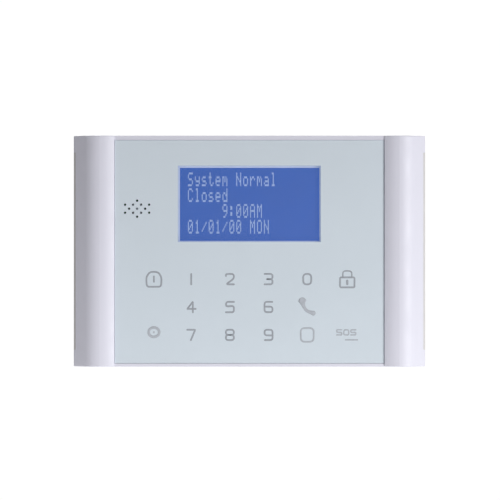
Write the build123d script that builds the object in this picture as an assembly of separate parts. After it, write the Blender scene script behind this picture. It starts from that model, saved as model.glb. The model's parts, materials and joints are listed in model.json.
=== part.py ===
from build123d import *
import math
import os

# Wall-mounted alarm keypad panel: a white housing with two rounded side rails, a frosted touch
# panel with a dot-matrix display between them, its electronics, and the steel bracket it hangs on.
#
# Millimetres. X runs to the right as seen from the front, Z up, and the wall is the plane Y = 0.
# The front faces -Y, so depths are given as "forward" distances f from the wall, with y = -f.
# The origin is the centre of the bracket's back face.

# ---------------------------------------------------------------- driving sizes
# Whole panel
overall_w = 180.0
overall_h = 118.0
crown_f = 28.0  # crowns of the side rails
wall = 2.2
end_wall = 2.0
edge_round = 0.5
part_f = 13.4  # joint plane between the front and rear housings

# Side rails
rail_w = 21.05
crown_in = 13.5  # crown line, measured in from the housing's side
outer_r = 12.0  # rail's arc from the crown out to the slope
outer_slope = 35.0  # degrees, of the flat slope between that arc and the side
inner_r = 16.0  # rail's arc from the crown in to the foot
side_round = 1.0  # slope into the flat side wall
foot_round = 0.4  # inner arc into the foot's wall

# Side trims, let into the housing's sides
trim_depth = 1.0
trim_end_in = 8.5  # housing end to trim end
trim_back_f = 14.2
trim_play = 0.05

# Touch panel, its printed film and tape, in a pocket of the front housing
border_f = 25.6
border_chamfer = 0.2
border_top = 2.2
border_bottom = 1.6
panel_f = 25.4
panel_t = 2.0
panel_gap = 0.1
panel_chamfer = 0.15
film_t = 0.2
tape_t = 0.3
tape_w = 2.4
ledge_w = 3.0
ledge_t = 2.2

# Display
window_w = 73.0
window_h = 39.0
display_drop = 32.5  # panel's top edge to the window's centre
display_shift = -0.1  # window's centre, right of the panel's
module_right, module_down = 0.2, 0.25  # display module, off the window's centre
bezel_lap = 0.8  # bezel that shows inside the window's edge
display_w = 80.0
display_h = 54.0
display_t = 6.2
display_skin = 0.5
glass_t = 2.2
glass_margin = 2.0
display_board_t = 0.7
display_gap = 0.2

# Touch keys: six columns by three rows, with the two middle-row ends left out
key_columns = 6
key_side = 18.75  # panel edge to the outer columns
key_bottom = 15.4  # panel's lower edge to the bottom row
key_row_pitch = 13.5
key_rows = 3
spring_r = 4.0
spring_wall = 0.5
led_w = 3.0
led_h = 1.6
led_t = 1.1

# Microphone and its holes
mic_side = 11.45  # panel edge to the hole pattern's centre
mic_drop = 35.0  # panel's top edge to the same
mic_hole_r = 0.6
mic_hole_dx = 4.1
mic_hole_dz = 2.05
mic_r = 3.0
mic_t = 2.0
boot_wall = 1.0

# Circuit boards
board_t = 1.6
touch_board_over = 2.0  # board edge beyond the pocket's side
touch_board_end = 1.8  # inner end wall to the board
main_board_side = 20.0  # housing side to the main board's edge
main_board_f = 13.4  # rear face
main_board_top = 6.0  # inner end wall to the board's top edge
main_board_bottom = 2.0
header_w = 26.0
header_h = 5.0
header_in = 8.0  # board's bottom edge to the header's centre

# Rear housing
rim_f = 0.4
rear_side_step = 0.9
rear_end_step = 0.8
rear_skin = 2.0
rear_edge_round = 2.5
rear_corner_round = 1.5
tongue_len = 1.5
tongue_play = 0.2

# Wall bracket and its four hooks
bracket_side = 25.0  # housing side to bracket edge
bracket_end = 17.0  # housing end to bracket edge
bracket_t = 2.0
bracket_corner = 3.0
bracket_play = 0.5
wall_hole_r = 2.2
wall_hole_dx = 116.0
wall_hole_dz = 70.0
countersink_r = 3.5
countersink_depth = 1.3
hook_in = 15.0  # bracket side to hook centre
hook_w = 8.0
hook_t = 1.5
hook_rise = 4.5
hook_upper = 14.0  # bracket's top edge to the upper hooks' seats
hook_lower = 18.0  # bracket's bottom edge to the lower hooks' seats
hook_play = 0.3
seat_play = 0.1
lift = 8.0  # the panel's travel up, off the hooks
cable_window_w = 50.0
cable_window_h = 36.0

# Speaker
speaker_r = 18.0
speaker_up = 37.0  # housing's bottom to the speaker's centre
speaker_t = 5.6
speaker_gasket_t = 0.5
speaker_gasket_w = 2.0
magnet_r = 9.0
magnet_t = 2.6
grille_r = 14.0
grille_slot = 2.0
grille_pitch = 4.2

# Tamper switch, pressed by the bracket through the rear housing
tamper_x = -32.0
tamper_up = 49.0  # housing's bottom to the plunger
tamper_w = 7.0
tamper_t = 6.5
plunger_r = 1.5
plunger_play = 0.1
plunger_flange_r = 2.2
plunger_flange_t = 0.8
ramp_w = 5.0
ramp_slope = 0.15  # plunger travel for each millimetre of lift
ramp_past = 2.0
tip_gap = 0.05

# Sockets and controls along the bottom edge, by the x of their centres
socket_gap = 0.2
dc_x, dc_w, dc_h, dc_len = -55.0, 9.0, 8.4, 11.0
dc_bore_r, dc_bore_len, dc_pin_r, dc_hole_r = 3.2, 9.0, 1.0, 4.1
phone_xs = (-40.0, -25.0)
phone_w, phone_h, phone_len = 13.0, 8.4, 15.0
phone_mouth_w, phone_mouth_h, phone_mouth_len = 9.9, 6.8, 12.0
phone_hole_w, phone_hole_h = 10.6, 7.6
siren_x, siren_w, siren_h, siren_len = -10.0, 6.5, 5.8, 12.0
siren_bore_r, siren_nose_r, siren_hole_r = 1.8, 2.6, 2.8
terminal_x, terminal_h, terminal_len = 7.0, 8.0, 9.0
terminal_ways, terminal_pitch = 4, 3.81
terminal_hole, terminal_screw_r = 2.6, 1.2
sim_x, sim_socket_w, sim_socket_t, sim_socket_len = 29.5, 17.0, 2.5, 26.0
sim_w, sim_len, sim_t, sim_play, sim_travel = 15.0, 25.0, 0.76, 0.15, 14.0
sim_cut = 3.0
switch_x, switch_w, switch_h, switch_len = 48.0, 11.5, 6.0, 5.0
knob_w, knob_h, knob_travel, knob_play = 3.0, 2.6, 3.0, 0.2
learn_x, learn_w, learn_h, learn_len = 59.0, 6.0, 6.0, 4.5
learn_cap_r, learn_travel, learn_play = 1.75, 0.8, 0.15

# Screws
case_screw_side = 10.5  # housing side to the four case screws
case_screw_end = 10.0
case_post_r = 4.5
case_boss_r = 3.5
case_screw_r = 1.2
case_hole_r = 1.7
case_head_r, case_head_t, case_bore_r, case_seat_f = 2.8, 2.0, 3.2, 6.0
case_screw_len = 14.0
small_screw_r, small_head_r, small_head_t = 0.95, 2.0, 1.4
screw_play = 0.05
board_post_r = 3.0
board_post_in = 4.0  # main board's edge to its screws
board_screw_len = 7.5
touch_screw_z = 28.0
touch_screw_len = 3.2

# Battery, radio parts and the larger components
cell_w, cell_h, cell_t, cell_gap = 29.0, 36.0, 7.6, 2.0
battery_x = -8.0
battery_top = 7.0  # main board's top edge to the cells
battery_tape_t = 0.3
plug_w, plug_h, plug_t = 6.0, 5.0, 5.0
lead_r = 0.7
gsm_x, gsm_up, gsm_w, gsm_board_t, gsm_shield_t = 39.5, 67.5, 25.0, 0.8, 2.2
antenna_len, antenna_h, antenna_t = 45.0, 8.0, 0.5
radio_x, radio_down, radio_w, radio_h, radio_t = 48.5, 12.0, 26.0, 12.0, 1.0
clock_x, clock_up, clock_r, clock_t, clock_holder_t = 58.0, 44.0, 10.0, 3.2, 1.0
relay_in, relay_up, relay_w, relay_h, relay_t = 30.0, 45.0, 10.0, 15.0, 8.0
line_x, line_up, line_w, line_h, line_t = -43.0, 49.5, 13.0, 13.0, 7.6
cap_in, cap_r, cap_t, cap_pitch, cap_up, cap_count = 29.0, 4.0, 8.0, 10.0, 66.0, 3
chip_w, chip_t = 14.0, 1.6
small_chip_w, small_chip_h = 6.0, 4.0

# ---------------------------------------------------------------- derived places
half_w, half_h = overall_w / 2, overall_h / 2
crown_x = half_w - crown_in
pocket_x = half_w - rail_w
pocket_top, pocket_bottom = half_h - border_top, -half_h + border_bottom
panel_x = pocket_x - panel_gap
panel_top, panel_bottom = pocket_top - panel_gap, pocket_bottom + panel_gap
panel_back_f = panel_f - panel_t
film_back_f = panel_back_f - film_t
ledge_f = film_back_f - tape_t
ledge_back_f = ledge_f - ledge_t
inner_end = half_h - end_wall
display_x, display_z = display_shift, panel_top - display_drop
module_x, module_z = display_x + module_right, display_z - module_down
display_front_f = film_back_f - display_gap
display_back_f = display_front_f - display_t
mic_x, mic_z = -panel_x + mic_side, panel_top - mic_drop
touch_board_back_f = ledge_back_f - board_t
rear_x, rear_z = half_w - rear_side_step, half_h - rear_end_step
rear_inner_x, rear_inner_z = rear_x - wall, rear_z - wall
floor_f = rim_f + rear_skin
bracket_x, bracket_z = half_w - bracket_side, half_h - bracket_end
recess_f = bracket_t + bracket_play
recess_floor_f = recess_f + rear_skin
hook_x = bracket_x - hook_in
relay_x, cap_x = -half_w + relay_in, -half_w + cap_in
hook_seats = (bracket_z - hook_upper, -bracket_z + hook_lower)
lip_f = recess_floor_f + hook_play
main_front_f = main_board_f + board_t
main_top, main_bottom = inner_end - main_board_top, -inner_end + main_board_bottom
main_x = half_w - main_board_side
mouth_z = -rear_inner_z + socket_gap
speaker_z = -half_h + speaker_up
tamper_z = -half_h + tamper_up
board_post_x = main_x - board_post_in
board_post_zs = (main_top - board_post_in - 3.0, main_bottom + board_post_in + 5.0)
case_screw_x, case_screw_z = half_w - case_screw_side, half_h - case_screw_end
touch_screw_x = pocket_x - 0.5
column_pitch = (2 * panel_x - 2 * key_side) / (key_columns - 1)


def key_places():
    """Centres of the touch keys, row by row from the bottom; the middle row has no end keys."""
    places = []
    for row in range(key_rows):
        for column in range(key_columns):
            if row == 1 and column in (0, key_columns - 1):
                continue
            x = -panel_x + key_side + column * column_pitch
            places.append((x, panel_bottom + key_bottom + row * key_row_pitch))
    return places


# ---------------------------------------------------------------- plain solids
def slab(x0, x1, f0, f1, z0, z1):
    """Box between two x, two forward distances and two heights."""
    middle = Pos((x0 + x1) / 2, -(f0 + f1) / 2, (z0 + z1) / 2)
    return middle * Box(abs(x1 - x0), abs(f1 - f0), abs(z1 - z0))


def plate(x, z, w, h, f0, f1, corner=0.0):
    """Plate parallel to the wall, centred on (x, z), with rounded corners."""
    body = slab(x - w / 2, x + w / 2, f0, f1, z - h / 2, z + h / 2)
    return fillet(body.edges().filter_by(Axis.Y), corner) if corner else body


def post(x, z, r, f0, f1):
    """Round post square to the wall, between two forward distances."""
    return Pos(x, -(f0 + f1) / 2, z) * Rot(90, 0, 0) * Cylinder(r, abs(f1 - f0))


def stem(x, f, r, z0, z1):
    """Upright round stem between two heights."""
    return Pos(x, -f, (z0 + z1) / 2) * Cylinder(r, abs(z1 - z0))


def pan_screw(x, z, seat_f, length, head_t, shank_r, head_r, forward):
    """Pan-head screw square to the wall, its head's underside at seat_f, with a cross recess.

    forward is +1 when the shank points away from the wall and -1 when it points to it.
    """
    end_f = seat_f - forward * head_t
    screw = post(x, z, head_r, seat_f, end_f) + post(x, z, shank_r, seat_f, seat_f + forward * length)
    depth = end_f + forward * head_t * 0.55
    blade, reach = head_r * 0.28, head_r * 0.62
    screw -= slab(x - reach, x + reach, end_f, depth, z - blade / 2, z + blade / 2)
    return screw - slab(x - blade / 2, x + blade / 2, end_f, depth, z - reach, z + reach)


def lead_wire(points):
    """Insulated wire along straight runs joined by tangent arcs; points are (x, f, z)."""
    corners = [Vector(x, -f, z) for x, f, z in points]
    path = FilletPolyline(*corners, radius=2 * lead_r)
    start = Plane(origin=path @ 0, z_dir=path % 0)
    return sweep(start * Circle(lead_r), path=path)


# ---------------------------------------------------------------- housings
def rail_f(radius, inset, reach):
    """Forward distance of a rail arc, inset from the surface, at reach beside the crown."""
    return crown_f - radius + ((radius - inset) ** 2 - reach**2) ** 0.5


def rail_curve(inset, foot_x):
    """Left rail's curve in plan, for the line being built: up the slope from the side wall, over
    the crown and down to the inner foot at foot_x. Returns its ends on the side and the foot."""
    side, slope = half_w - inset, math.radians(outer_slope)
    reach = (outer_r - inset) * math.sin(slope)
    slope_top = (-(crown_x + reach), -rail_f(outer_r, inset, reach))
    drop = (side - crown_x - reach) * math.tan(slope)
    side_end = (-side, slope_top[1] + drop)
    foot_end = (-foot_x, -rail_f(inner_r, inset, crown_x - foot_x))
    crown = (-crown_x, inset - crown_f)
    Line(side_end, slope_top)
    half = reach / 2
    ThreePointArc(slope_top, (-crown_x - half, -rail_f(outer_r, inset, half)), crown)
    half = (crown_x - foot_x) / 2
    ThreePointArc(crown, (-crown_x + half, -rail_f(inner_r, inset, half)), foot_end)
    return side_end, foot_end


def rail():
    """Left side rail as a solid block of the housing's full height, its end edges rounded."""
    with BuildSketch(Plane.XY.offset(-half_h)) as outline:
        with BuildLine():
            side_end, foot_end = rail_curve(0, pocket_x)
            Polyline(foot_end, (-pocket_x, -part_f), (-half_w, -part_f), side_end)
        make_face()
        fillet(outline.vertices().sort_by_distance(side_end)[0], side_round)
        fillet(outline.vertices().sort_by_distance(foot_end)[0], foot_round)
    block = extrude(outline.sketch, amount=overall_h)
    rounds = [
        e
        for face in block.faces().filter_by(Axis.Z)
        for e in face.edges()
        if e.center().Y < -part_f - 0.1 and e.center().X < -pocket_x - 0.1
    ]
    return fillet(rounds, edge_round)


def rail_pair():
    """Both side rails."""
    left = rail()
    return [left, mirror(left, about=Plane.YZ)]


def housing_hollow():
    """Inside of the front housing: the rails' hollows and the space behind the ledge."""
    side, foot_x = half_w - wall, pocket_x + wall
    with BuildSketch(Plane.XY.offset(-inner_end)) as outline:
        with BuildLine():
            side_end, foot_end = rail_curve(wall, foot_x)
            Polyline((0, -part_f), (-side, -part_f), side_end)
            Polyline(foot_end, (-foot_x, -ledge_back_f), (0, -ledge_back_f))
            mirror(about=Plane.YZ)
        make_face()
    return extrude(outline.sketch, amount=2 * inner_end)


def trim_zone(depth, end_play):
    """Both side strips of the housing's skin that the trims take, depth deep."""
    z = half_h - trim_end_in - end_play
    zone = [
        slab(side * (half_w - depth), side * (half_w + 1), trim_back_f + end_play, crown_f, -z, z)
        for side in (-1, 1)
    ]
    return zone


def front_housing():
    """Front shell with its rails, panel pocket, ledge, trim recesses and screw bosses."""
    shell = slab(-pocket_x, pocket_x, part_f, border_f, -half_h, half_h)
    front = shell.faces().sort_by(Axis.Y)[0]
    shell = chamfer(front.edges().filter_by(Axis.X), border_chamfer)
    for block in rail_pair():
        shell += block
    shell -= housing_hollow()
    shell -= slab(-pocket_x, pocket_x, ledge_f, border_f + 1, pocket_bottom, pocket_top)
    hole_x = pocket_x - ledge_w
    shell -= slab(-hole_x, hole_x, part_f, border_f, pocket_bottom + ledge_w, pocket_top - ledge_w)
    for recess in trim_zone(trim_depth, 0):
        shell -= recess
    for sx in (-1, 1):
        for sz in (-1, 1):
            x, z = sx * case_screw_x, sz * case_screw_z
            shell += post(x, z, case_boss_r, part_f + tongue_play, crown_f - wall + 0.2)
            pilot_end = case_seat_f + case_screw_len + 1.0
            shell -= post(x, z, case_screw_r + screw_play, part_f - 1, pilot_end)
            shell -= post(
                sx * touch_screw_x,
                sz * touch_screw_z,
                small_screw_r + screw_play,
                ledge_back_f,
                ledge_f - 0.2,
            )
    return shell


def side_trim(side):
    """Trim strip whose outer face carries on the rail's curve; side is -1 left, +1 right."""
    zone = trim_zone(trim_depth - trim_play, trim_play)[0 if side < 0 else 1]
    return zone & rail_pair()[0 if side < 0 else 1]


def bottom_openings():
    """Cutters for the openings in the rear housing's bottom wall."""
    z0, z1 = -half_h - 1, -rear_inner_z + 0.01
    cutters = [stem(dc_x, main_board_f - dc_h / 2, dc_hole_r, z0, z1)]
    cutters.append(stem(siren_x, main_board_f - siren_h / 2, siren_hole_r, z0, z1))
    phone_f = main_board_f - phone_h / 2
    for x in phone_xs:
        dx, df = phone_hole_w / 2, phone_hole_h / 2
        cutters.append(slab(x - dx, x + dx, phone_f - df, phone_f + df, z0, z1))
    dx = terminal_ways * terminal_pitch / 2
    terminal_back_f = main_board_f - terminal_h
    cutters.append(slab(terminal_x - dx, terminal_x + dx, terminal_back_f, part_f - 1, z0, z1))
    sim_f = main_board_f - sim_socket_t / 2
    dx = sim_w / 2 + 0.4
    cutters.append(slab(sim_x - dx, sim_x + dx, sim_f - 0.8, sim_f + 0.8, z0, z1))
    cutters.append(slab(sim_x - 5, sim_x + 5, sim_f - 4, sim_f + 0.8, z0, -rear_z + 1.0))
    knob_f = main_board_f - switch_h / 2
    dx, df = knob_travel / 2 + knob_w / 2 + 0.4, knob_h / 2 + 0.4
    cutters.append(slab(switch_x - dx, switch_x + dx, knob_f - df, knob_f + df, z0, z1))
    cutters.append(stem(learn_x, main_board_f - learn_h / 2, learn_cap_r + 0.35, z0, z1))
    return cutters


def rear_housing():
    """Rear tray with the bracket recess, hook slots, speaker grille, posts and bottom openings."""
    tray = slab(-rear_x, rear_x, rim_f, part_f, -rear_z, rear_z)
    tray = fillet(tray.edges().filter_by(Axis.Y), rear_corner_round)
    back = tray.faces().sort_by(Axis.Y)[-1]
    tray = fillet(back.edges(), rear_edge_round)
    tray -= slab(-rear_inner_x, rear_inner_x, floor_f, part_f + 1, -rear_inner_z, rear_inner_z)
    lip_x, lip_z = half_w - wall - tongue_play, half_h - end_wall - tongue_play
    tongue = slab(-lip_x, lip_x, part_f - 0.5, part_f + tongue_len, -lip_z, lip_z)
    tray += tongue - slab(-rear_inner_x, rear_inner_x, 0, crown_f, -rear_inner_z, rear_inner_z)

    recess_x = bracket_x + bracket_play
    recess_top, recess_bottom = bracket_z + bracket_play, -bracket_z - lift - bracket_play
    tray += slab(
        -recess_x - rear_skin,
        recess_x + rear_skin,
        floor_f - 0.5,
        recess_floor_f,
        recess_bottom - rear_skin,
        recess_top + rear_skin,
    )
    for x in (-board_post_x, board_post_x):
        for z in board_post_zs:
            tray += post(x, z, board_post_r, floor_f - 0.5, main_board_f)
            pilot_f = main_front_f - board_screw_len - 0.4
            tray -= post(x, z, small_screw_r + screw_play, pilot_f, main_board_f)
    for sx in (-1, 1):
        for sz in (-1, 1):
            x, z = sx * case_screw_x, sz * case_screw_z
            tray += post(x, z, case_post_r, floor_f - 0.5, part_f - tongue_play)
            tray -= post(x, z, case_hole_r, 0, part_f)
            tray -= post(x, z, case_bore_r, 0, case_seat_f)
    tray -= slab(-recess_x, recess_x, 0, recess_f, recess_bottom, recess_top)

    for x in (-hook_x, hook_x):
        for seat in hook_seats:
            dx = hook_w / 2 + bracket_play
            top = seat + seat_play
            bottom = top - lift - hook_t - 0.6
            tray -= slab(x - dx, x + dx, 0, recess_floor_f + 1, bottom, top)
    tray -= post(tamper_x, tamper_z, plunger_r + 0.4, 0, recess_floor_f + 1)
    rows = int(grille_r / grille_pitch)
    for row in range(-rows, rows + 1):
        z = row * grille_pitch
        half = (grille_r**2 - z**2) ** 0.5
        tray -= plate(
            0, speaker_z + z, 2 * half, grille_slot, 0, recess_floor_f + 1, grille_slot * 0.45
        )
    for vent in range(-4, 5):
        x = vent * 6.0
        tray -= slab(x - 1.2, x + 1.2, floor_f + 3, part_f - 3, rear_inner_z - 1, half_h + 1)
    for cutter in bottom_openings():
        tray -= cutter
    return tray


# ---------------------------------------------------------------- front assembly
def mic_holes(f0, f1):
    """Lattice of microphone holes: rows of one, four, three, four and one."""
    holes = []
    for row, count in zip((-2, -1, 0, 1, 2), (1, 4, 3, 4, 1)):
        for i in range(count):
            x = mic_x + (i - (count - 1) / 2) * mic_hole_dx
            holes.append(post(x, mic_z + row * mic_hole_dz, mic_hole_r, f0, f1))
    return holes


def touch_panel():
    """Clear acrylic plate with bevelled front edges and the microphone holes."""
    sheet = slab(-panel_x, panel_x, panel_back_f, panel_f, panel_bottom, panel_top)
    front = sheet.faces().sort_by(Axis.Y)[0]
    sheet = chamfer(front.edges(), panel_chamfer)
    for hole in mic_holes(panel_back_f - 1, panel_f + 1):
        sheet -= hole
    return sheet


def panel_film():
    """Printed film behind the plate, with the display window cut out."""
    sheet = slab(-panel_x, panel_x, film_back_f, panel_back_f, panel_bottom, panel_top)
    sheet -= plate(display_x, display_z, window_w, window_h, film_back_f - 1, panel_f)
    for hole in mic_holes(film_back_f - 1, panel_back_f + 1):
        sheet -= hole
    return sheet


def panel_tape():
    """Adhesive frame between the film and the housing's ledge."""
    frame = slab(-panel_x, panel_x, ledge_f, film_back_f, panel_bottom, panel_top)
    inner_x = panel_x - tape_w
    low, high = panel_bottom + tape_w, panel_top - tape_w
    return frame - slab(-inner_x, inner_x, 0, crown_f, low, high)


def touch_board():
    """Key sensing board, screwed to the back of the ledge, with an opening for the display."""
    x = pocket_x + touch_board_over
    z = inner_end - touch_board_end
    board = slab(-x, x, touch_board_back_f, ledge_back_f, -z, z)
    board -= plate(module_x, module_z, display_w + 1, display_h + 1, 0, crown_f)
    for sx in (-1, 1):
        for sz in (-1, 1):
            hole_r = small_screw_r + 0.2
            board -= post(sx * touch_screw_x, sz * touch_screw_z, hole_r, 0, crown_f)
    return board


def touch_springs():
    """One short sensing spring under each key, drawn as a plain sleeve."""
    springs = []
    for x, z in key_places():
        sleeve = post(x, z, spring_r, ledge_back_f, film_back_f)
        springs.append(sleeve - post(x, z, spring_r - spring_wall, 0, crown_f))
    return springs


def key_leds():
    """One key light inside each sensing spring."""
    return [
        plate(x, z, led_w, led_h, ledge_back_f, ledge_back_f + led_t) for x, z in key_places()
    ]


def touch_chip():
    """Key sensing controller on the touch board's back."""
    f = touch_board_back_f
    return plate(-25.0, -20.0, 10.0, 10.0, f - 1.2, f)


def touch_board_screws():
    """Four small screws that hold the touch board to the ledge."""
    return [
        pan_screw(
            sx * touch_screw_x,
            sz * touch_screw_z,
            touch_board_back_f,
            touch_screw_len,
            small_head_t,
            small_screw_r,
            small_head_r,
            1,
        )
        for sx in (-1, 1)
        for sz in (-1, 1)
    ]


def display_bezel():
    """Folded steel frame of the display module, open over the window and at the back."""
    back = display_back_f + display_board_t
    frame = plate(module_x, module_z, display_w, display_h, back, display_front_f)
    inner_w, inner_h = display_w - 2 * display_skin, display_h - 2 * display_skin
    frame -= plate(module_x, module_z, inner_w, inner_h, 0, display_front_f - display_skin)
    opening_w, opening_h = window_w - 2 * bezel_lap, window_h - 2 * bezel_lap
    return frame - plate(module_x, module_z, opening_w, opening_h, 0, crown_f)


def display_layer(front, back, margin):
    """One flat layer of the display module."""
    w, h = display_w - 2 * margin, display_h - 2 * margin
    return plate(module_x, module_z, w, h, back, front)


def display_glass():
    """Liquid crystal cell."""
    front = display_front_f - display_skin - 0.1
    return display_layer(front, front - glass_t, glass_margin)


def display_backlight():
    """Edge-lit light guide behind the cell."""
    front = display_front_f - display_skin - 0.1 - glass_t
    return display_layer(front, display_back_f + display_board_t, display_skin + 0.2)


def display_board():
    """Driver board at the display module's back."""
    return display_layer(display_back_f + display_board_t, display_back_f, 0)


def microphone():
    """Electret capsule behind the microphone holes."""
    return post(mic_x, mic_z, mic_r, ledge_back_f + 0.1, ledge_back_f + 0.1 + mic_t)


def mic_boot():
    """Rubber cup that holds the capsule against the film."""
    cup = post(mic_x, mic_z, mic_r + boot_wall, ledge_back_f, film_back_f)
    return cup - post(mic_x, mic_z, mic_r + 0.05, ledge_back_f, crown_f)


# ---------------------------------------------------------------- main board and what it carries
def main_board():
    """Main circuit board on the rear housing's four posts."""
    board = slab(-main_x, main_x, main_board_f, main_front_f, main_bottom, main_top)
    for x in (-board_post_x, board_post_x):
        for z in board_post_zs:
            board -= post(x, z, small_screw_r + 0.2, 0, crown_f)
    return board


def board_screws():
    """Four small screws through the main board into the posts."""
    return [
        pan_screw(
            x,
            z,
            main_front_f,
            board_screw_len,
            small_head_t,
            small_screw_r,
            small_head_r,
            -1,
        )
        for x in (-board_post_x, board_post_x)
        for z in board_post_zs
    ]


def on_board(x, z, w, h, t, corner=0.0):
    """Component standing on the main board's rear face."""
    return plate(x, z, w, h, main_board_f - t, main_board_f, corner)


def link_header():
    """Board-to-board header on the touch board."""
    middle_f = (main_front_f + touch_board_back_f) / 2
    return plate(0, main_bottom + header_in, header_w, header_h, middle_f, touch_board_back_f)


def link_socket():
    """Board-to-board socket on the main board."""
    middle_f = (main_front_f + touch_board_back_f) / 2
    return plate(0, main_bottom + header_in, header_w + 1, header_h + 1, main_front_f, middle_f)


def main_chip():
    """Processor on the main board's front face."""
    return plate(22.0, -22.0, chip_w, chip_w, main_front_f, main_front_f + chip_t)


def board_chips():
    """Memory, voice and line chips beside the processor."""
    return [
        plate(x, -30.0, small_chip_w, small_chip_h, main_front_f, main_front_f + chip_t)
        for x in (-10.0, 0.0, 40.0)
    ]


def capacitors():
    """Upright electrolytic capacitors at the board's left edge."""
    cans = []
    for i in range(cap_count):
        z = -half_h + cap_up + i * cap_pitch
        can = post(cap_x, z, cap_r, main_board_f - cap_t, main_board_f)
        cans.append(fillet(can.edges().sort_by(Axis.Y)[-1], 0.5))
    return cans


def relay():
    """Relay for the wired siren output."""
    return on_board(relay_x, -half_h + relay_up, relay_w, relay_h, relay_t, 0.6)


def line_transformer():
    """Isolating transformer of the phone line: a coil former with its laminated core."""
    z = -half_h + line_up
    former = on_board(line_x, z, line_w, line_h, line_t)
    for side in (-1, 1):
        x = line_x + side * line_w / 2
        top = main_board_f - line_t
        former -= slab(x - 1.5, x + 1.5, top + 2, main_board_f - 2, z - 4, z + 4)
    return former


def clock_cell():
    """Coin cell that keeps the clock."""
    base = main_board_f - clock_holder_t
    cell = post(clock_x, -half_h + clock_up, clock_r, base - clock_t, base)
    return fillet(cell.edges().sort_by(Axis.Y)[-1], 0.4)


def clock_cell_holder():
    """Low cup that holds the coin cell."""
    z = -half_h + clock_up
    cup = post(clock_x, z, clock_r + 1.2, main_board_f - clock_holder_t - 1.4, main_board_f)
    return cup - post(clock_x, z, clock_r + 0.1, 0, main_board_f - clock_holder_t)


def gsm_board():
    """Mobile network module's own board."""
    return on_board(gsm_x, -half_h + gsm_up, gsm_w, gsm_w, gsm_board_t)


def gsm_shield():
    """Pressed shield can over the mobile network module."""
    top = main_board_f - gsm_board_t
    z = -half_h + gsm_up
    return plate(gsm_x, z, gsm_w - 2, gsm_w - 2, top - gsm_shield_t, top, 1.0)


def gsm_antenna():
    """Flexible antenna stuck inside the rear housing's right wall."""
    x = rear_inner_x
    middle_f = (floor_f + part_f) / 2
    half_len, half_antenna_h = antenna_len / 2, antenna_h / 2
    return slab(
        x - antenna_t, x, middle_f - half_antenna_h, middle_f + half_antenna_h, -half_len, half_len
    )


def radio_module():
    """Sensor radio board on its pin strip."""
    z = main_top - radio_down
    strip = on_board(radio_x, z - radio_h / 2 + 1.5, radio_w - 6, 2.0, 2.0)
    top = main_board_f - 2.0
    strip += plate(radio_x, z, radio_w, radio_h, top - radio_t, top)
    return strip + plate(radio_x - 6, z + 1, 10, 7, top - radio_t - 1.5, top - radio_t)


# ---------------------------------------------------------------- bottom edge sockets
def socket_body(x, w, h, length):
    """Socket block on the board's rear face, its mouth at the bottom wall."""
    return slab(x - w / 2, x + w / 2, main_board_f - h, main_board_f, mouth_z, mouth_z + length)


def dc_jack():
    """Barrel socket for the mains adaptor."""
    f = main_board_f - dc_h / 2
    jack = socket_body(dc_x, dc_w, dc_h, dc_len)
    return jack - stem(dc_x, f, dc_bore_r, mouth_z - 1, mouth_z + dc_bore_len)


def dc_jack_pin():
    """Centre contact of the barrel socket."""
    f = main_board_f - dc_h / 2
    pin = stem(dc_x, f, dc_pin_r, mouth_z + 1, mouth_z + dc_bore_len)
    return fillet(pin.edges().sort_by(Axis.Z)[0], dc_pin_r * 0.6)


def phone_sockets():
    """Two modular phone sockets, line in and phone out, each with its latch groove."""
    bodies = []
    middle_f = main_board_f - phone_h / 2
    dx, df = phone_mouth_w / 2, phone_mouth_h / 2
    for x in phone_xs:
        body = socket_body(x, phone_w, phone_h, phone_len)
        z1 = mouth_z + phone_mouth_len
        body -= slab(x - dx, x + dx, middle_f - df, middle_f + df, mouth_z - 1, z1)
        bodies.append(body)
    return bodies


def phone_contacts():
    """Four gold spring wires in each phone socket, along the side of its mouth."""
    wires = []
    f = main_board_f - phone_h / 2 + phone_mouth_h / 2 - 0.5
    for x in phone_xs:
        for i in range(4):
            wire_x = x + (i - 1.5) * 1.02
            wires.append(stem(wire_x, f, 0.22, mouth_z + 2.5, mouth_z + phone_mouth_len))
    return wires


def siren_jack():
    """Small round socket for the siren's plug, its nose in the bottom wall."""
    f = main_board_f - siren_h / 2
    jack = socket_body(siren_x, siren_w, siren_h, siren_len)
    jack += stem(siren_x, f, siren_nose_r, mouth_z - 2.0, mouth_z + 0.5)
    return jack - stem(siren_x, f, siren_bore_r, mouth_z - 3, mouth_z + siren_len - 1)


def terminal_places():
    """Centres of the terminal ways along x."""
    middle = (terminal_ways - 1) / 2
    return [terminal_x + (i - middle) * terminal_pitch for i in range(terminal_ways)]


def terminal_block():
    """Terminal block for wired zones, wires and screws both from below."""
    w = terminal_ways * terminal_pitch - 0.2
    block = socket_body(terminal_x, w, terminal_h, terminal_len)
    for x in terminal_places():
        half, wire_f = terminal_hole / 2, main_board_f - 2.3
        block -= slab(
            x - half, x + half, wire_f - half, wire_f + half, mouth_z - 1, mouth_z + 6
        )
        screw_f = main_board_f - terminal_h + 2.2
        block -= stem(x, screw_f, terminal_screw_r + 0.3, mouth_z - 1, mouth_z + 6.5)
    return block


def terminal_screws():
    """Slotted clamp screws of the terminal block."""
    screws = []
    screw_f = main_board_f - terminal_h + 2.2
    for x in terminal_places():
        screw = stem(x, screw_f, terminal_screw_r, mouth_z + 1.5, mouth_z + 6.5)
        slot = slab(x - 2, x + 2, screw_f - 0.25, screw_f + 0.25, mouth_z, mouth_z + 2.2)
        screws.append(screw - slot)
    return screws


def sim_socket():
    """Card socket, open towards the bottom wall."""
    f = main_board_f - sim_socket_t / 2
    socket = socket_body(sim_x, sim_socket_w, sim_socket_t, sim_socket_len)
    dx, df = sim_w / 2 + sim_play, sim_t / 2 + sim_play
    z1 = mouth_z + sim_socket_len - 2
    return socket - slab(sim_x - dx, sim_x + dx, f - df, f + df, mouth_z - 1, z1)


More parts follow.
